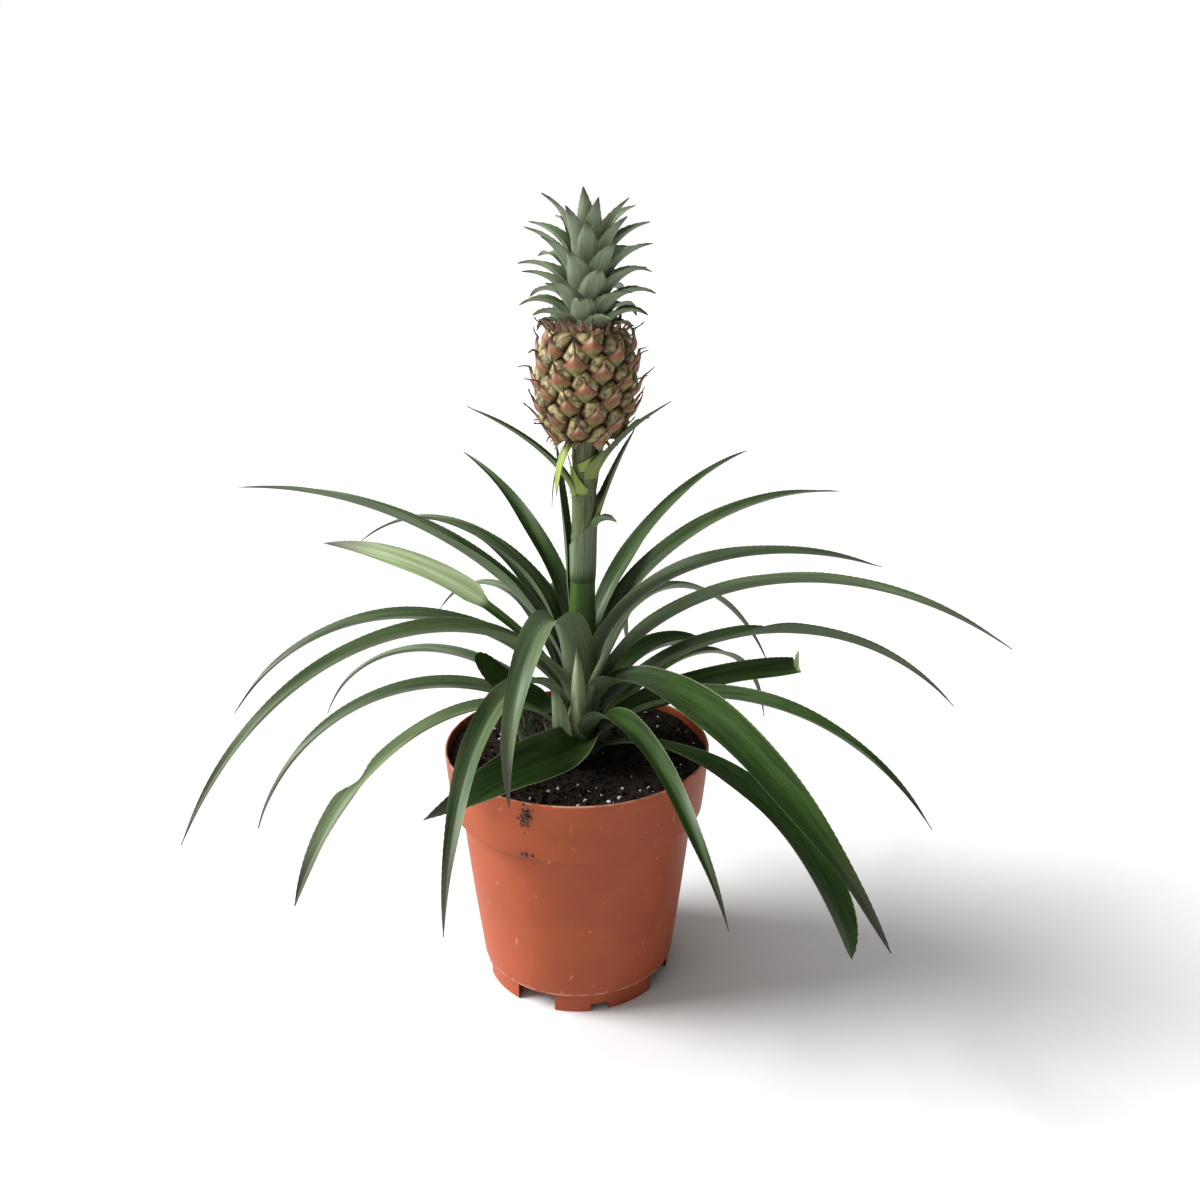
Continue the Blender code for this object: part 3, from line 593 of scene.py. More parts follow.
def make_collars(material):
    # The grey collar's tint holds a little of the light tint: painted light, a paler green.
    grey, lime = np.array((1.0, 0.12, 0.0)), np.array((0.0, 0.0, 1.0))
    add_collar("stalk_leaf_1", BRACT_FOOT, (0.2240, 0.2285, 0.2345, 0.2390, 0.2390), (170, 380),
               0.6 * MM, grey, material)
    add_collar("stalk_leaf_4", 0.2510, (0.2680, 0.2620, 0.2535), (160, 285), 2.2 * MM, lime,
               material)
    add_collar("stalk_leaf_5", 0.2615, (0.2650, 0.2690, 0.2730), (240, 380), 1.0 * MM, lime,
               material)


def make_hanging(leaf, material):
    """A bract that hangs from the fruit's foot."""
    foot = round_stem(HANGING_OUT, radians(leaf.azimuth), leaf.height * MM)
    shape = Shape()
    add_blade(shape, leaf, foot, 80, 4 * MM, 0.6 * MM, columns=7)
    shape.dress(leaf.name, "stem", "leaf", material)


def make_offshoots(material):
    for node, centre, leaves in OFFSHOOTS:
        shape = Shape()
        for seed, leaf in enumerate(leaves):
            foot = polar(1.2 * MM, radians(leaf.azimuth), SOIL_TOP + 2 * MM, centre)
            add_blade(shape, leaf, foot, 60 + seed, 2.5 * MM, 0.7 * MM)
        shape.dress(node + "_shoot", node, "leaf", material)


# ---- fruit

def fruit_radius(height):
    middle = (FRUIT_FOOT + FRUIT_TOP) / 2
    rise = (height - middle) / ((FRUIT_TOP - FRUIT_FOOT) / 2 / FRUIT_END)
    rise = np.clip(rise, -FRUIT_END, FRUIT_END)
    power = np.where(rise > 0, FRUIT_SQUARENESS_HIGH, FRUIT_SQUARENESS_LOW)
    squared = (1 - np.abs(rise) ** power) ** (1 / power)
    return FRUIT_RADIUS * squared * (1 + FRUIT_TAPER * rise)


def fruit_points(azimuth, height, proud):
    """Points that stand proud of the fruit's barrel, in millimetres."""
    return round_stem(fruit_radius(height) + proud * MM, azimuth, height)


def eye_places():
    eye = np.arange(EYES)
    azimuth = np.radians(EYE_START + GOLDEN_ANGLE * eye)
    return azimuth, FRUIT_FOOT + (FRUIT_TOP - FRUIT_FOOT) * (eye + 0.5) / EYES


def eye_field(azimuth, height):
    """For each point: its own eye, its place on it in millimetres, and the joint's nearness."""
    eye_azimuth, eye_height = eye_places()
    turn = (azimuth[..., None] - eye_azimuth + pi) % (2 * pi) - pi
    across = turn * fruit_radius(height)[..., None] / MM
    above = (height[..., None] - eye_height) / MM
    distance = np.hypot(across, above)
    order = np.argsort(distance, axis=-1)[..., :2]
    near = np.take_along_axis(distance, order, axis=-1)
    own = order[..., :1]
    local_x = np.take_along_axis(across, own, axis=-1)[..., 0]
    local_y = np.take_along_axis(above, own, axis=-1)[..., 0]
    return own[..., 0], local_x, local_y, (near[..., 1] - near[..., 0]) / 2


def dome(local_x, local_y, edge):
    """How proud an eye is, in millimetres: a cushion with three sepals and a small scar."""
    rise = (1 - (1 - np.clip(edge / DOME_EDGE, 0, 1)) ** 2) ** 0.6
    angle = np.arctan2(local_y - 1, local_x)
    reach = np.hypot(local_x, local_y - 1)
    seam = np.cos(1.5 * (angle - pi / 2)) ** 24
    height = DOME_HEIGHT * rise - 0.35 * seam * rise * np.exp(-(reach / 3.4) ** 2)
    return height - 0.5 * np.exp(-((reach - 0.2) / 0.6) ** 2)


def make_fruit_body(material):
    level = np.linspace(FRUIT_FOOT, FRUIT_TOP, FRUIT_ROWS)
    azimuth, height = np.meshgrid(circle(FRUIT_COLUMNS), level)
    own, local_x, local_y, edge = eye_field(azimuth, height)
    index = np.arange(height.size).reshape(height.shape)
    faces = grid_faces(index, closed=True, flip=True) + [tuple(index[0]), tuple(index[-1][::-1])]
    shape = Shape()
    shape.add(fruit_points(azimuth, height, dome(local_x, local_y, edge) - JOINT_DEPTH), faces,
              eye=together(local_x, local_y, edge), number=own[..., None])
    shape.dress("fruit_eyes", "fruit", "fruit", material, 80)


def bract_width(rise):
    """Half the width of an eye's bract, from its lower corner (0) to its tip (1)."""
    low = np.clip(rise / BRACT_BROADEST, 0, 1) ** 0.85
    high = np.clip((1 - rise) / (1 - BRACT_BROADEST), 0, 1) ** 2.1
    return BRACT_WIDE * np.minimum(low, high)


def make_bracts(material):
    """A kite-shaped bract over the lower part of each eye, ending in a thin dry tip."""
    rng = np.random.RandomState(5)
    shape = Shape()
    rise = np.linspace(0, 1, BRACT_ROWS)[:, None]
    across = np.linspace(-1, 1, BRACT_COLUMNS)
    for eye, (middle, level) in enumerate(zip(*eye_places())):
        size = rng.uniform(0.92, 1.14) * (0.96 + 0.24 * eye / EYES)
        skew = rng.uniform(-0.8, 0.8) * rise ** 2
        local_x = across * np.maximum(bract_width(rise), 0.25) * size + skew
        local_y = (BRACT_LOW + (BRACT_HIGH - BRACT_LOW) * rise) * size + 0 * across
        height = level + local_y * MM
        azimuth = middle + local_x * MM / FRUIT_RADIUS
        inside = np.clip(height, FRUIT_FOOT, FRUIT_TOP)
        _, own_x, own_y, edge = eye_field(azimuth, inside)
        proud = np.maximum(dome(own_x, own_y + 20, edge), 1.0)
        keel = (1 - np.abs(across)) * (0.5 + 0.9 * smooth_step(rise / 0.45))
        free = rng.uniform(1.6, 3.0) * np.clip((rise - 0.62) / 0.38, 0, 1) ** 1.6
        points = fruit_points(azimuth, inside, proud - 0.30 + keel + free)
        points[..., 2] = height
        outward = points - (FRUIT_X, 0, 0)
        outward[..., 2] = 0
        thick = BRACT_THICKNESS * (1 - across ** 2)[:, None]
        blade = together(across, rise, eye)
        shape.add(both_sides(points, points - unit(outward) * thick),
                  sheet_faces(BRACT_ROWS, BRACT_COLUMNS, flip=True),
                  blade=both_sides(blade, blade))
        add_thorn(shape, points[-1].mean(axis=0), middle, rng, eye)
    shape.dress("fruit_bracts", "fruit", "fruit", material)


def add_tube(shape, path, radii, number, sides=6):
    """A thin tapering tube along a path, closed at both ends, with the look of a dry tip."""
    path = np.asarray(path)
    along = unit(np.gradient(path, axis=0))
    first = unit(np.cross(along, (0, 0, 1) if abs(along[0][2]) < 0.9 else (1, 0, 0)))
    second = np.cross(along, first)
    angle = circle(sides)[:, None]
    ring = first[:, None] * np.cos(angle) + second[:, None] * np.sin(angle)
    share = np.linspace(*TUBE_SHARES, len(path))[:, None]
    shape.add(path[:, None] + ring * np.asarray(radii)[:, None, None],
              tube_faces(len(path), sides), blade=together(0, share, number))


def add_thorn(shape, start, azimuth, rng, number):
    """The bract's dry tip: it curls outwards and up."""
    length = rng.uniform(3.6, 6.4) * MM
    slope = radians(rng.uniform(10, 55))
    curl = radians(rng.uniform(-70, 70))
    drift = rng.uniform(-0.7, 0.7)
    path = [start]
    for i in range(THORN_STEPS):
        bent = slope + curl * i / THORN_STEPS
        way = polar(cos(bent), azimuth + drift * i / THORN_STEPS, sin(bent))
        path.append(path[-1] + way * length / THORN_STEPS)
    radii = np.linspace(0.42, 0.18, THORN_STEPS + 1) * MM
    radii[-3] = rng.uniform(0.25, 0.55) * MM
    add_tube(shape, path, radii, number)


def make_rags(material):
    """Dry, ragged bracts round the fruit's foot and under its crown."""
    rng = np.random.RandomState(11)
    shape = Shape()
    for count, height, slopes, lengths, out in RAGS:
        for i in range(count):
            azimuth = 360 * (i + rng.uniform(-0.35, 0.35)) / count
            slope = rng.uniform(*slopes)
            leaf = Leaf("rag", azimuth, 0, rng.uniform(*lengths), rng.uniform(3.0, 6.0), slope,
                        slope - rng.uniform(0, 70), 1.5, rng.uniform(-40, 40), channel=50,
                        foot=1.0, sheath=0)
            foot = polar(fruit_radius(height) * out, radians(azimuth),
                         height + rng.uniform(-1, 1) * MM, (stem_x(height), 0))
            add_blade(shape, leaf, foot, i, 6 * MM, 0.4 * MM, SMALL_LEAF_TEETH, 5)
    shape.dress("fruit_rags", "fruit", "fruit", material)


# ---- crown

def make_crown(material):
    """Short leaves on a core. The low ones curve down, the high ones stand."""
    shape = Shape()
    for index in range(CROWN_LEAVES):
        share = index / (CROWN_LEAVES - 1)
        azimuth = EYE_START + GOLDEN_ANGLE * index
        upright = CROWN_TILT * cos(radians(azimuth - 270))
        length = 12 + 27 * share ** 0.6 - 6 * share ** 6 + 1.5 * sin(2.4 * index)
        width = 10.5 + 9 * share ** 0.5 - 5 * share ** 6
        rise = 30 + 52 * share ** 0.6 + 0.25 * upright
        fall = -58 + 96 * share ** 0.8 + upright
        leaf = Leaf("crown_leaf", azimuth, 0, length, width, rise, fall, 1.15, channel=44,
                    foot=1.0, full=1.6, sheath=3, keel=0.8)
        radius = (11.5 - 8.5 * share ** 0.8) * MM
        height = CROWN_FOOT + (1.0 + 27 * share ** 1.15) * MM
        foot = round_stem(radius, radians(azimuth), height)
        add_blade(shape, leaf, foot, index, max(radius, 5 * MM), 1.0 * MM, SMALL_LEAF_TEETH)
    profile = [(radius * MM, CROWN_FOOT + height * MM) for radius, height in CROWN_CORE]
    shape.add(*turned_shape(profile, 32, (stem_x(CROWN_FOOT), 0)),
              place=(0, 0, 0), blade=(0, 0.1, 1), tint=(0, 0, 0))
    shape.dress("crown_leaves", "crown", "crown", material)


# ---- pot

def arc(centre_radius, centre_height, size, start, end, steps):
    """Points of a round edge on a profile, with angles in degrees from outwards to up."""
    angles = np.radians(np.linspace(start, end, steps))
    return [(centre_radius + size * cos(a), centre_height + size * sin(a)) for a in angles]


def bowed(start, end, bow, steps):
    """Points of a profile between two ends, bulging out a little."""
    share = np.arange(1, steps) / steps
    radius = start[0] + (end[0] - start[0]) * share + bow * np.sin(pi * share)
    return list(zip(radius, start[1] + (end[1] - start[1]) * share))


def pot_profile(box):
    low, high = box
    rim = (high[0] - low[0]) / 2
    lip = POT_WALL / 2
    lip_foot = (rim, high[2] - lip)
    skirt_inside = SKIRT_RADIUS - POT_WALL
    shoulder = (SHOULDER_RADIUS, SHOULDER)
    inside = [(0, FLOOR_TOP), (skirt_inside, FLOOR_TOP)]
    inside += [(radius - POT_WALL, height + POT_WALL)
               for radius, height in ((BODY_RADIUS, BODY_FOOT), shoulder, (BAND_RADIUS, BAND_FOOT))]
    inside += [(rim - POT_WALL, high[2] - lip)]
    inside += arc(rim - lip, high[2] - lip, lip, 180, 0, 9)[1:-1]
    outside = [lip_foot]
    outside += bowed(lip_foot, (BAND_RADIUS, BAND_FOOT + BAND_ROUND), BAND_BOW, 8)
    outside += arc(BAND_RADIUS - BAND_ROUND, BAND_FOOT + BAND_ROUND, BAND_ROUND, 0, -85, 6)
    outside += [(SHOULDER_RADIUS + 0.4 * MM, SHOULDER + 0.3 * MM), shoulder]
    outside += bowed(shoulder, (BODY_RADIUS, BODY_FOOT + BODY_ROUND), BODY_BOW, 12)
    outside += arc(BODY_RADIUS - BODY_ROUND, BODY_FOOT + BODY_ROUND, BODY_ROUND, 0, -80, 5)
    outside += [(SKIRT_RADIUS, SKIRT_TOP), (SKIRT_RADIUS, SKIRT_ROUND)]
    outside += [(SKIRT_RADIUS - SKIRT_ROUND, 0), (skirt_inside, 0)]
    return inside + outside + [(skirt_inside, FLOOR_TOP - FLOOR_THICKNESS),
                               (0, FLOOR_TOP - FLOOR_THICKNESS)]


def make_pot(material):
    shape = Shape()
    shape.add(*turned_shape(pot_profile(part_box("pot")), POT_SIDES))
    pot = shape.dress("pot_shell", "pot", "pot", material)
    pot.data.flip_normals()
    cut(pot, pot_cutters(), material)


def pot_cutters():
    """Notches in the skirt and drain holes in the floor, as in the frame."""
    cutters = []
    for first, angle, height in NOTCH_KINDS:
        size = (NOTCH_DEPTH, 2 * SKIRT_RADIUS * sin(radians(angle) / 2), 2 * height)
        for i in range(NOTCHES):
            azimuth = radians(first + 360 / NOTCHES * i)
            place = polar(SKIRT_RADIUS - POT_WALL / 2, azimuth, 0)
            cutters.append(solid("notch", box_points(size, azimuth, place), BOX_FACES))
    profile = [(0, 0.017), (DRAIN_RADIUS, 0.017), (DRAIN_RADIUS, -0.001), (0, -0.001)]
    for i in range(DRAIN_HOLES):
        place = polar(DRAIN_CIRCLE, 2 * pi * (i + 0.5) / DRAIN_HOLES, 0)
        cutters.append(solid("drain", *turned_shape(profile, 40, place[:2])))
    return cutters


def box_points(size, azimuth, place):
    """Corners of a box that stands on its middle and is turned by an azimuth in radians."""
    x, y, z = (np.indices((2, 2, 2)).reshape(3, 8) - 0.5) * np.array(size)[:, None]
    return place + together(x * cos(azimuth) - y * sin(azimuth),
                            x * sin(azimuth) + y * cos(azimuth), z)


def solid(name, points, faces):
    mesh = bpy.data.meshes.new(name)
    mesh.from_pydata(points.tolist(), [], [tuple(int(n) for n in face) for face in faces])
    return place_object(name, mesh)


def cut(piece, cutters, material):
    """Cut solids out of a piece, apply the result and drop the solids."""
    group = bpy.data.collections.new("cutters")
    for cutter in cutters:
        group.objects.link(cutter)
    modifier = piece.modifiers.new("cut", "BOOLEAN")
    modifier.operation = "DIFFERENCE"
    modifier.operand_type = "COLLECTION"
    modifier.collection = group
    bpy.context.view_layer.update()
    evaluated = piece.evaluated_get(bpy.context.evaluated_depsgraph_get())
    mesh = bpy.data.meshes.new_from_object(evaluated)
    piece.modifiers.clear()
    piece.data = mesh
    mesh.materials.clear()
    mesh.materials.append(material)
    smooth(mesh, 40)
    for cutter in cutters:
        bpy.data.objects.remove(cutter)
    bpy.data.collections.remove(group)


# ---- soil

def soil_height(x, y):
    """Lumpy ground, lower round the stem and higher at the pot's wall."""
    far = min(1, (x * x + y * y) ** 0.5 / 0.062)
    level = SOIL_TOP + 1.0 * MM + 2.2 * MM * far ** 6
    for size, detail, layer in ((1.5, 60, 3), (0.9, 220, 7), (0.5, 650, 9)):
        level += size * MM * noise.noise((x * detail, y * detail, layer))
    return level


def make_soil(material):
    angle = circle(SOIL_SIDES)
    rows = []
    for ring in range(1, SOIL_RINGS + 1):
        radius = SOIL_RADIUS * (ring / SOIL_RINGS) ** 0.8
        rows.append([(x, y, soil_height(x, y)) for x, y, _ in polar(radius, angle, 0)])
    rows.append(polar(SOIL_FOOT_RADIUS, angle, SOIL_FOOT))
    shape = Shape()
    shape.add(np.array(rows), tube_faces(len(rows), SOIL_SIDES))
    shape.dress("soil_surface", "soil", "soil", material, 80)


def grain(rng, size, rough=0.35):
    """Points of an irregular grain: a jittered icosahedron."""
    spread = 1 + rng.uniform(-rough, rough, (len(ICO_CORNERS), 1))
    return unit(ICO_CORNERS) * spread * rng.uniform(0.7, 1.3, 3) * size


def scatter(shape, rng, count, sizes, inner=0.012, outer=0.060, front=0.0, sunk=0.3):
    """Lay grains on the soil. front draws them towards the pot's near rim."""
    made = 0
    while made < count:
        radius = outer * rng.uniform((inner / outer) ** 2, 1) ** 0.5
        azimuth = rng.uniform(0, 2 * pi)
        x, y = radius * cos(azimuth), radius * sin(azimuth)
        if rng.uniform() < front and y > -0.03 + 0.03 * rng.uniform():
            continue
        size = rng.uniform(*sizes) ** 2 / sizes[1]
        points = grain(rng, size)
        shape.add(points + (x, y, soil_height(x, y) + size * (1 - 2 * sunk)), ICO_FACES)
        made += 1


def make_crumbs(soil, perlite, fibre):
    rng = np.random.RandomState(3)
    crumbs, white, roots = Shape(), Shape(), Shape()
    scatter(crumbs, rng, CRUMBS, (0.5 * MM, 1.5 * MM))
    crumbs.dress("soil_crumbs", "soil", "soil", soil, 30)
    scatter(white, rng, BIG_PERLITE, (0.5 * MM, 1.1 * MM), inner=0.03, front=0.75, sunk=0.2)
    scatter(white, rng, SMALL_PERLITE, (0.25 * MM, 0.6 * MM), front=0.5, sunk=0.2)
    white.dress("perlite", "soil", "soil", perlite, 30)
    for i in range(ROOTS):
        add_root(roots, rng, i)
    roots.dress("root_fibres", "soil", "soil", fibre)


def make_clump(fibre):
    """A tuft of roots and soil spilled over the front of the rim, with a few crumbs below."""
    rng = np.random.RandomState(17)
    shape = Shape()
    for i in range(CLUMP_FIBRES):
        azimuth = CLUMP_AZIMUTH + rng.uniform(-1.6, 1.6)
        height = 0.1205 + rng.uniform(-4, 2) * MM
        drift = rng.uniform(-9, 9)
        path = []
        for _ in range(7):
            azimuth += drift * 0.04 + rng.uniform(-0.5, 0.5)
            height -= rng.uniform(0.3, 1.3) * MM
            out = band_radius(height) + rng.uniform(0.2, 0.9) * MM
            path.append(polar(out, radians(azimuth), height))
        add_tube(shape, path, np.linspace(0.24, 0.12, len(path)) * MM, i, sides=5)
    for i in range(CLUMP_GRAINS + FALLEN_GRAINS):
        fallen = i >= CLUMP_GRAINS
        azimuth = CLUMP_AZIMUTH + (rng.uniform(-4, 2) if fallen else rng.normal(0, 1.1))
        height = 0.0955 + rng.uniform(0, 1) * MM if fallen else 0.1175 + rng.normal(0, 2.6) * MM
        size = rng.uniform(0.3, 0.8) * MM
        place = polar(band_radius(height) + 0.4 * size, radians(azimuth), height)
        shape.add(grain(rng, size) + place, ICO_FACES, blade=(0, 0, 0))
    shape.dress("rim_roots", "soil", "soil", fibre, 30)


def band_radius(height):
    """Radius at which the tuft lies: the band's, less up to half a millimetre near the rim."""
    return np.interp(height, (BAND_FOOT, RIM_TOP), (BAND_RADIUS, RIM_RADIUS))


def add_root(shape, rng, number):
    """A pale fibre curling over the soil."""
    radius = rng.uniform(0.02, 0.058)
    x, y, _ = polar(radius, rng.uniform(0, 2 * pi), 0)
    heading = rng.uniform(0, 2 * pi)
    turn = rng.uniform(-0.5, 0.5)
    lift = rng.uniform(0.2, 1.6) * MM
    path = []
    for i in range(ROOT_STEPS):
        x += ROOT_STEP * cos(heading)
        y += ROOT_STEP * sin(heading)
        heading += turn + rng.uniform(-0.25, 0.25)
        if x * x + y * y > ROOT_REACH ** 2:
            break
        path.append((x, y, soil_height(x, y) + lift * sin(pi * i / ROOT_STEPS)))
    if len(path) > 3:
        radii = np.full(len(path), rng.uniform(0.07, 0.15) * MM)
        radii[0] = radii[-1] = 0.06 * MM
        add_tube(shape, path, radii, number)


# ---- materials

class Nodes:
    """A node tree, with short ways to add what the materials need."""

    def __init__(self, tree):
        self.tree = tree

    def feed(self, socket, value):
        """Link a socket to a node's output, or set it to a number, a vector or a colour."""
        if isinstance(value, bpy.types.NodeSocket):
            self.tree.links.new(value, socket)
        else:
            socket.default_value = (*value, 1) if socket.type == "RGBA" else value

    def add(self, kind, inputs=None, **settings):
        made = self.tree.nodes.new("ShaderNode" + kind)
        for name, value in settings.items():
            setattr(made, name, value)
        for name, value in (inputs or {}).items():
            self.feed(made.inputs[name], value)
        return made

    def mix(self, factor, first, second):
        """Mix two colours, each given as a value or a socket."""
        return self.add("Mix", {0: factor, 6: first, 7: second}, data_type="RGBA").outputs[2]

    def remap(self, value, low, high, start=0.0, end=1.0):
        """A smooth step from start, where the value is low, to end, where it is high."""
        inputs = {"Value": value, "From Min": low, "From Max": high, "To Min": start, "To Max": end}
        return self.add("MapRange", inputs, interpolation_type="SMOOTHSTEP").outputs[0]

    def maths(self, operation, first, second=0.0):
        return self.add("Math", {0: first, 1: second}, operation=operation).outputs[0]

    def plus(self, first, second):
        return self.maths("ADD", first, second)

    def times(self, first, second):
        return self.maths("MULTIPLY", first, second)

    def joined(self, x, y, z):
        return self.add("CombineXYZ", {"X": x, "Y": y, "Z": z}).outputs[0]

    def attribute(self, name):
        """The three numbers of a point attribute, and the whole vector."""
        vector = self.add("Attribute", attribute_name=name).outputs["Vector"]
        return (*self.add("SeparateXYZ", {"Vector": vector}).outputs, vector)

    def speckle(self, vector, scale, detail=3.0):
        """Noise. A scale of three numbers stretches it."""
        if isinstance(scale, tuple):
            vector = self.add("Mapping", {"Vector": vector, "Scale": scale}).outputs[0]
            scale = 1.0
        inputs = {"Vector": vector, "Scale": scale, "Detail": detail}
        return self.add("TexNoise", inputs).outputs["Fac"]


class Skin(Nodes):
    """A material that is painted coat by coat."""

    def __init__(self, name, roughness, specular, colour):
        self.material = bpy.data.materials.new(name)
        self.material.use_nodes = True
        super().__init__(self.material.node_tree)
        self.shader = self.tree.nodes["Principled BSDF"]
        self.shader.inputs["Specular IOR Level"].default_value = specular
        self.set("Roughness", roughness)
        self.colour = colour

    def set(self, name, value):
        self.feed(self.shader.inputs[name], value)

    def cover(self, factor, colour):
        self.colour = self.mix(factor, self.colour, colour)

    def paint(self, colour, mask, low, high, start=0.0, end=1.0):
        """Cover the skin by a colour where the mask goes from low to high."""
        self.cover(self.remap(mask, low, high, start, end), colour)

    def finish(self, height, strength, distance):
        """Set the colour and the bumps, and hand over the material."""
        self.set("Base Color", self.colour)
        inputs = {"Height": height, "Strength": strength, "Distance": distance * MM}
        self.set("Normal", self.add("Bump", inputs).outputs[0])
        return self.material


def leaf_material(name, greens, roughness=0.42):
    """Leaf skin: fine streaks along the blade, a paler back, a paler green that is partly
    painted light, pale margins and a dry tip.
    """
    dark, middle, pale, under = greens
    skin = Skin(name, roughness, 0.25, dark)
    across, share, back, _ = skin.attribute("blade")
    grey, light, lime, _ = skin.attribute("tint")
    place = skin.attribute("place")[3]
    fine = skin.speckle(place, (2.2, 0.035, 1), 2.0)
    broad = skin.speckle(place, (0.45, 0.012, 1), 2.0)
    cloud = skin.speckle(place, (0.12, 0.03, 1))
    streak = skin.remap(skin.plus(fine, broad), 0.75, 1.25)
    skin.cover(streak, middle)
    skin.paint(pale, cloud, 0.45, 0.75, 0.0, 0.5)
    skin.cover(grey, skin.mix(streak, *GREY))
    scurfy = tuple(1.45 * part for part in under)
    skin.cover(skin.times(back, 0.85), skin.mix(skin.remap(fine, 0.40, 0.70), under, scurfy))
    # The light tint: a paler green, partly the blade's own and partly painted light.
    skin.cover(light, skin.mix(streak, *PALE_AND_PAINTED_LIGHT_GREENS))
    skin.cover(lime, skin.mix(streak, *LIME))
    skin.paint(MARGIN, skin.maths("ABSOLUTE", across), 0.93, 1.0, 0.0, 0.7)
    skin.paint(DRY_TIP, skin.plus(share, skin.times(cloud, 0.05)), 0.78, 1.04)
    skin.set("Roughness", skin.remap(fine, 0.3, 0.7, roughness - 0.06, roughness + 0.10))
    return skin.finish(fine, 0.25, 0.2)


def stalk_material():
    """Scurfy grey-green skin, bare bright green below the bract."""
    skin = Skin("stalk_skin", 0.45, 0.4, STALK_DARK)
    _, height, _, place = skin.attribute("place")
    fine = skin.speckle(place, (1.4, 0.08, 1), 4.0)
    skin.paint(STALK_PALE, fine, 0.35, 0.65)
    skin.paint(STALK_OLIVE, skin.speckle(place, (0.15, 0.06, 1)), 0.45, 0.7, 0.0, 0.7)
    skin.paint(STALK_BARE, height, BRACT_FOOT / MM - 1, BRACT_FOOT / MM + 3, 0.9, 0.0)
    return skin.finish(fine, 0.3, 0.3)


def eye_material():
    """Olive-green domes, brown in the joints and round the scar."""
    skin = Skin("fruit_skin", 0.42, 0.2, EYE_DARK)
    local_x, local_y, edge, _ = skin.attribute("eye")
    place = skin.joined(local_x, local_y, skin.attribute("number")[0])
    fine = skin.speckle(place, (2.5, 0.6, 3.1), 4.0)
    skin.paint(EYE_PALE, skin.speckle(place, (0.35, 0.35, 1.7)), 0.38, 0.62)
    skin.paint(EYE_BROWN, fine, 0.5, 0.75, 0.0, 0.6)
    skin.paint(EYE_JOINT, skin.plus(edge, skin.times(fine, 0.9)), 0.45, 2.3, 1.0, 0.0)
    above = skin.maths("SUBTRACT", local_y, 1.0)
    reach = skin.plus(skin.times(local_x, local_x), skin.times(above, above))
    skin.paint(EYE_SCAR, reach, 0.3, 1.8, 0.75, 0.0)
    return skin.finish(fine, 0.35, 0.4)


def bract_material():
    """Pale green at the foot, salmon across the middle, tan above, and a dark dry tip."""
    skin = Skin("bract_skin", 0.5, 0.2, None)
    across, rise, number, _ = skin.attribute("blade")
    place = skin.joined(across, rise, number)
    fine = skin.speckle(place, (6, 1.2, 3.7), 4.0)
    cloud = skin.speckle(place, (1.5, 2.5, 1.3), 2.0)
    wide = skin.maths("ABSOLUTE", across)
    bent = skin.plus(skin.plus(rise, skin.times(wide, 0.10)), skin.times(cloud, 0.16))
    ramp = skin.add("ValToRGB", {"Fac": bent})
    elements = ramp.color_ramp.elements
    while len(elements) < len(BRACT_RAMP):
        elements.new(0.5)
    for element, (position, colour) in zip(elements, BRACT_RAMP):
        element.position = position
        element.color = (*colour, 1)
    skin.colour = ramp.outputs[0]
    skin.paint(BRACT_STREAK, fine, 0.45, 0.72, 0.0, 0.75)
    skin.paint(BRACT_MARGIN, wide, 0.60, 1.0, 0.0, 0.85)
    skin.paint(BRACT_THORN, rise, 0.90, 1.02)
    return skin.finish(fine, 0.3, 0.3)


def rag_material():
    skin = Skin("dry_bract", 0.65, 0.2, RAG_DARK)
    fine = skin.speckle(skin.attribute("place")[3], (2.0, 0.3, 1.9))
    skin.paint(RAG_PALE, fine, 0.35, 0.65)
    skin.paint(RAG_TIP, skin.attribute("blade")[1], 0.6, 1.0)
    return skin.finish(fine, 0.4, 0.3)


def pot_material():
    """Matte terracotta-coloured plastic with faint mottling, pale scuffs and a worn lip."""
    skin = Skin("terracotta_plastic", 0.5, 0.25, POT_DARK)
    place = skin.add("TexCoord").outputs["Object"]
    height = skin.add("SeparateXYZ", {"Vector": place}).outputs["Z"]
    cloud = skin.speckle(place, 35.0, 4.0)
    skin.paint(POT_PALE, cloud, 0.35, 0.65)
    skin.paint(POT_SCUFF, skin.speckle(place, (260.0, 260.0, 117.0), 6.0), 0.66, 0.74, 0.0, 0.6)
    dots = skin.add("TexVoronoi", {"Vector": place, "Scale": 190.0}).outputs["Distance"]
    spots = skin.times(skin.remap(dots, 0.06, 0.13, 1.0, 0.0),
                       skin.remap(skin.speckle(place, 60.0, 1.0), 0.60, 0.68))
    skin.cover(skin.times(spots, 0.7), POT_SPOT)
    worn = skin.remap(skin.speckle(place, 180.0), 0.35, 0.60)
    skin.cover(skin.times(skin.remap(height, 0.1230, 0.1237, 0.0, 0.55), worn), POT_WORN)
    foot_line = skin.times(skin.remap(height, 0.0086, 0.0098),
                           skin.remap(height, 0.0106, 0.0122, 0.8, 0.0))
    skin.cover(skin.times(foot_line, worn), POT_WORN)
    dirt = skin.remap(skin.speckle(place, 140.0, 5.0), 0.62, 0.70, 0.0, 0.5)
    skin.cover(skin.times(dirt, skin.remap(height, 0.110, 0.122)), POT_DIRT)
    skin.set("Roughness", skin.remap(cloud, 0.3, 0.7, 0.42, 0.56))
    return skin.finish(skin.speckle(place, 900.0, 2.0), 0.08, 0.1)


def ground_material(name, colours, scale, roughness):
    """Soil, perlite or fibre: two colours mottled finely."""
    skin = Skin(name, roughness, 0.05, colours[0])
    fine = skin.speckle(skin.add("TexCoord").outputs["Object"], scale, 6.0)
    skin.paint(colours[1], fine, 0.35, 0.65)
    return skin.finish(fine, 0.8, 0.6)


# ---- stage

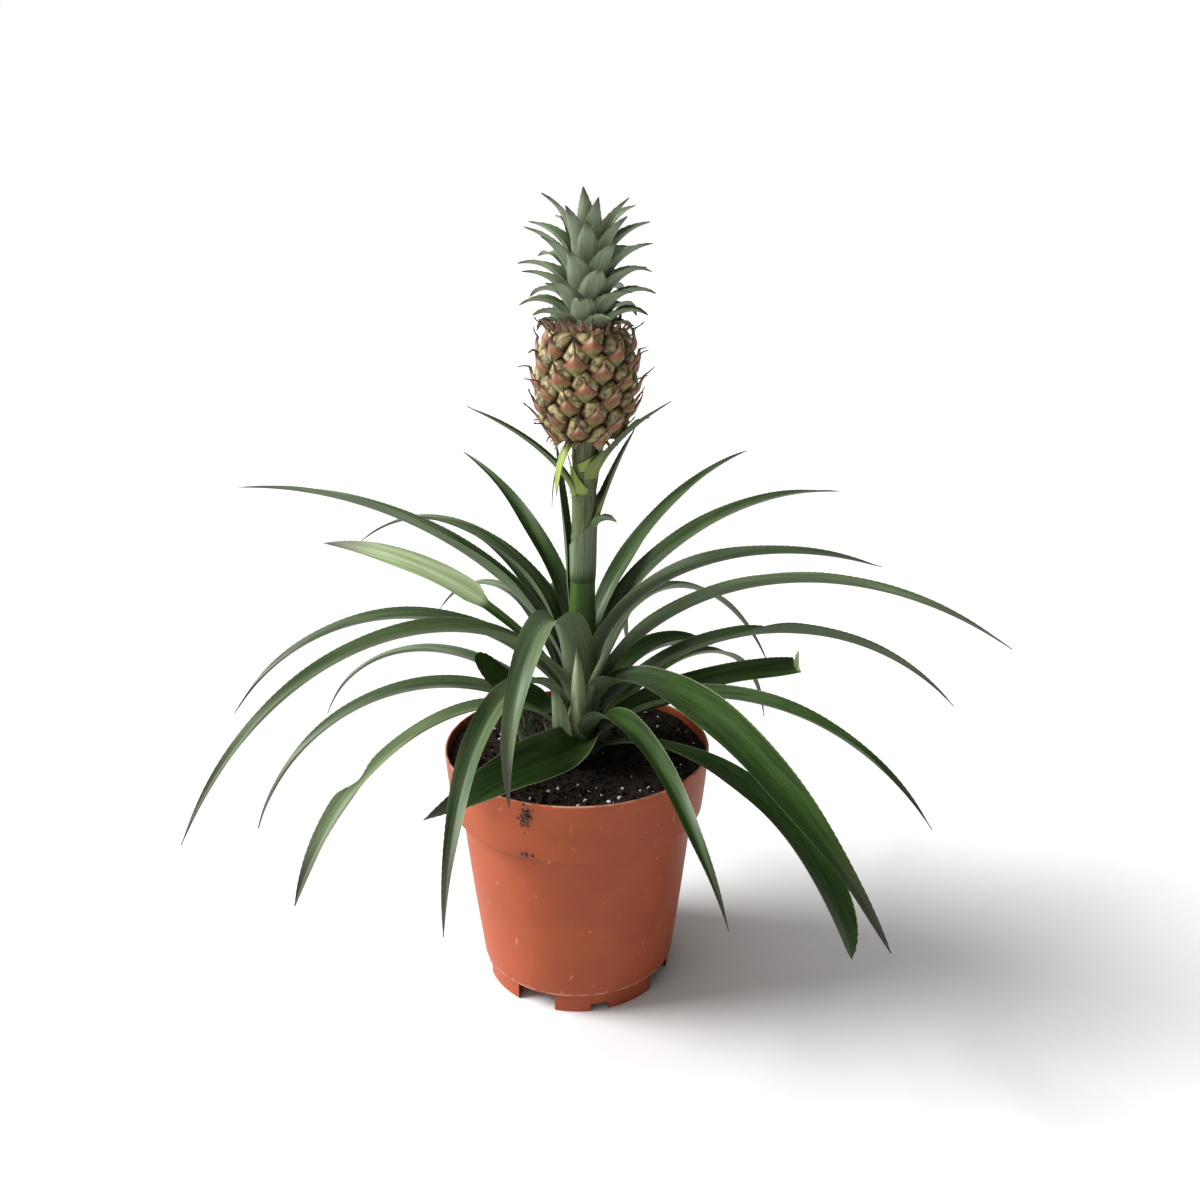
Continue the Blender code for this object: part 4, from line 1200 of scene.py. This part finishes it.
def make_floor():
    skin = Skin("studio_floor", 0.9, 0.0, FLOOR_COLOUR)
    skin.set("Base Color", skin.colour)
    mesh = bpy.data.meshes.new("floor")
    corners = [(-1, -1, 0), (1, -1, 0), (1, 1, 0), (-1, 1, 0)]
    mesh.from_pydata((np.array(corners) * FLOOR_SIZE).tolist(), [], [(0, 1, 2, 3)])
    mesh.materials.append(skin.material)
    floor = place_object("floor", mesh)


def make_world():
    """Soft surroundings, bright to the left and above, in front of a white backdrop."""
    world = bpy.data.worlds.new("studio")
    bpy.context.scene.world = world
    world.use_nodes = True
    nodes = Nodes(world.node_tree)
    background = nodes.tree.nodes["Background"]
    way = nodes.add("TexCoord").outputs["Generated"]
    lit = nodes.add("VectorMath", {0: way, 1: BRIGHT_SIDE}, operation="DOT_PRODUCT")
    soft = nodes.remap(lit.outputs["Value"], -0.1, 1.0, 0.13, 1.0)
    backdrop = nodes.add("LightPath").outputs["Is Camera Ray"]
    nodes.feed(background.inputs["Strength"], nodes.maths("MAXIMUM", soft, backdrop))
    nodes.feed(background.inputs["Color"], WHITE)


def make_sun():
    """A distant light that shines from its source towards the object."""
    light = bpy.data.lights.new("key", "SUN")
    light.angle = radians(SUN_SOFTNESS)
    light.energy = SUN_STRENGTH
    sun = place_object("key", light)
    sun.rotation_euler = Vector(SUN_SOURCE).to_track_quat("Z", "Y").to_euler()


def make_camera():
    camera = bpy.data.cameras.new("camera")
    camera.sensor_width = SENSOR
    camera.lens = CAMERA_LENS
    item = place_object("camera", camera)
    item.location = CAMERA_PLACE
    item.rotation_euler = (radians(90 - CAMERA_DOWN), 0, 0)
    bpy.context.scene.camera = item


def make_plant():
    leaf_skin = leaf_material("leaf_skin", LEAF_GREENS)
    for seed, leaf in enumerate(LEAVES):
        add_leaf(leaf, seed, leaf_skin)
    for seed, leaf in enumerate(STALK_LEAVES):
        add_leaf(leaf, 40 + seed, leaf_skin)
    dry = rag_material()
    make_collars(leaf_skin)
    make_hanging(HANGING_BRACT, leaf_skin)
    make_hanging(HANGING_STRIP, dry)
    make_offshoots(leaf_skin)
    make_stalk(stalk_material())
    make_fruit_body(eye_material())
    make_bracts(bract_material())
    make_rags(dry)
    make_crown(leaf_material("crown_skin", CROWN_GREENS, 0.5))


def main():
    make_camera()
    make_floor()
    make_world()
    make_sun()
    make_plant()
    make_pot(pot_material())
    soil = ground_material("potting_soil", SOIL_COLOURS, 900, 0.95)
    perlite = ground_material("perlite_grain", PERLITE_COLOURS, 1500, 0.8)
    fibre = ground_material("root_fibre", FIBRE_COLOURS, 600, 0.8)
    make_soil(soil)
    make_crumbs(soil, perlite, fibre)
    make_clump(fibre)
    bpy.context.scene.view_settings.view_transform = "Standard"


main()
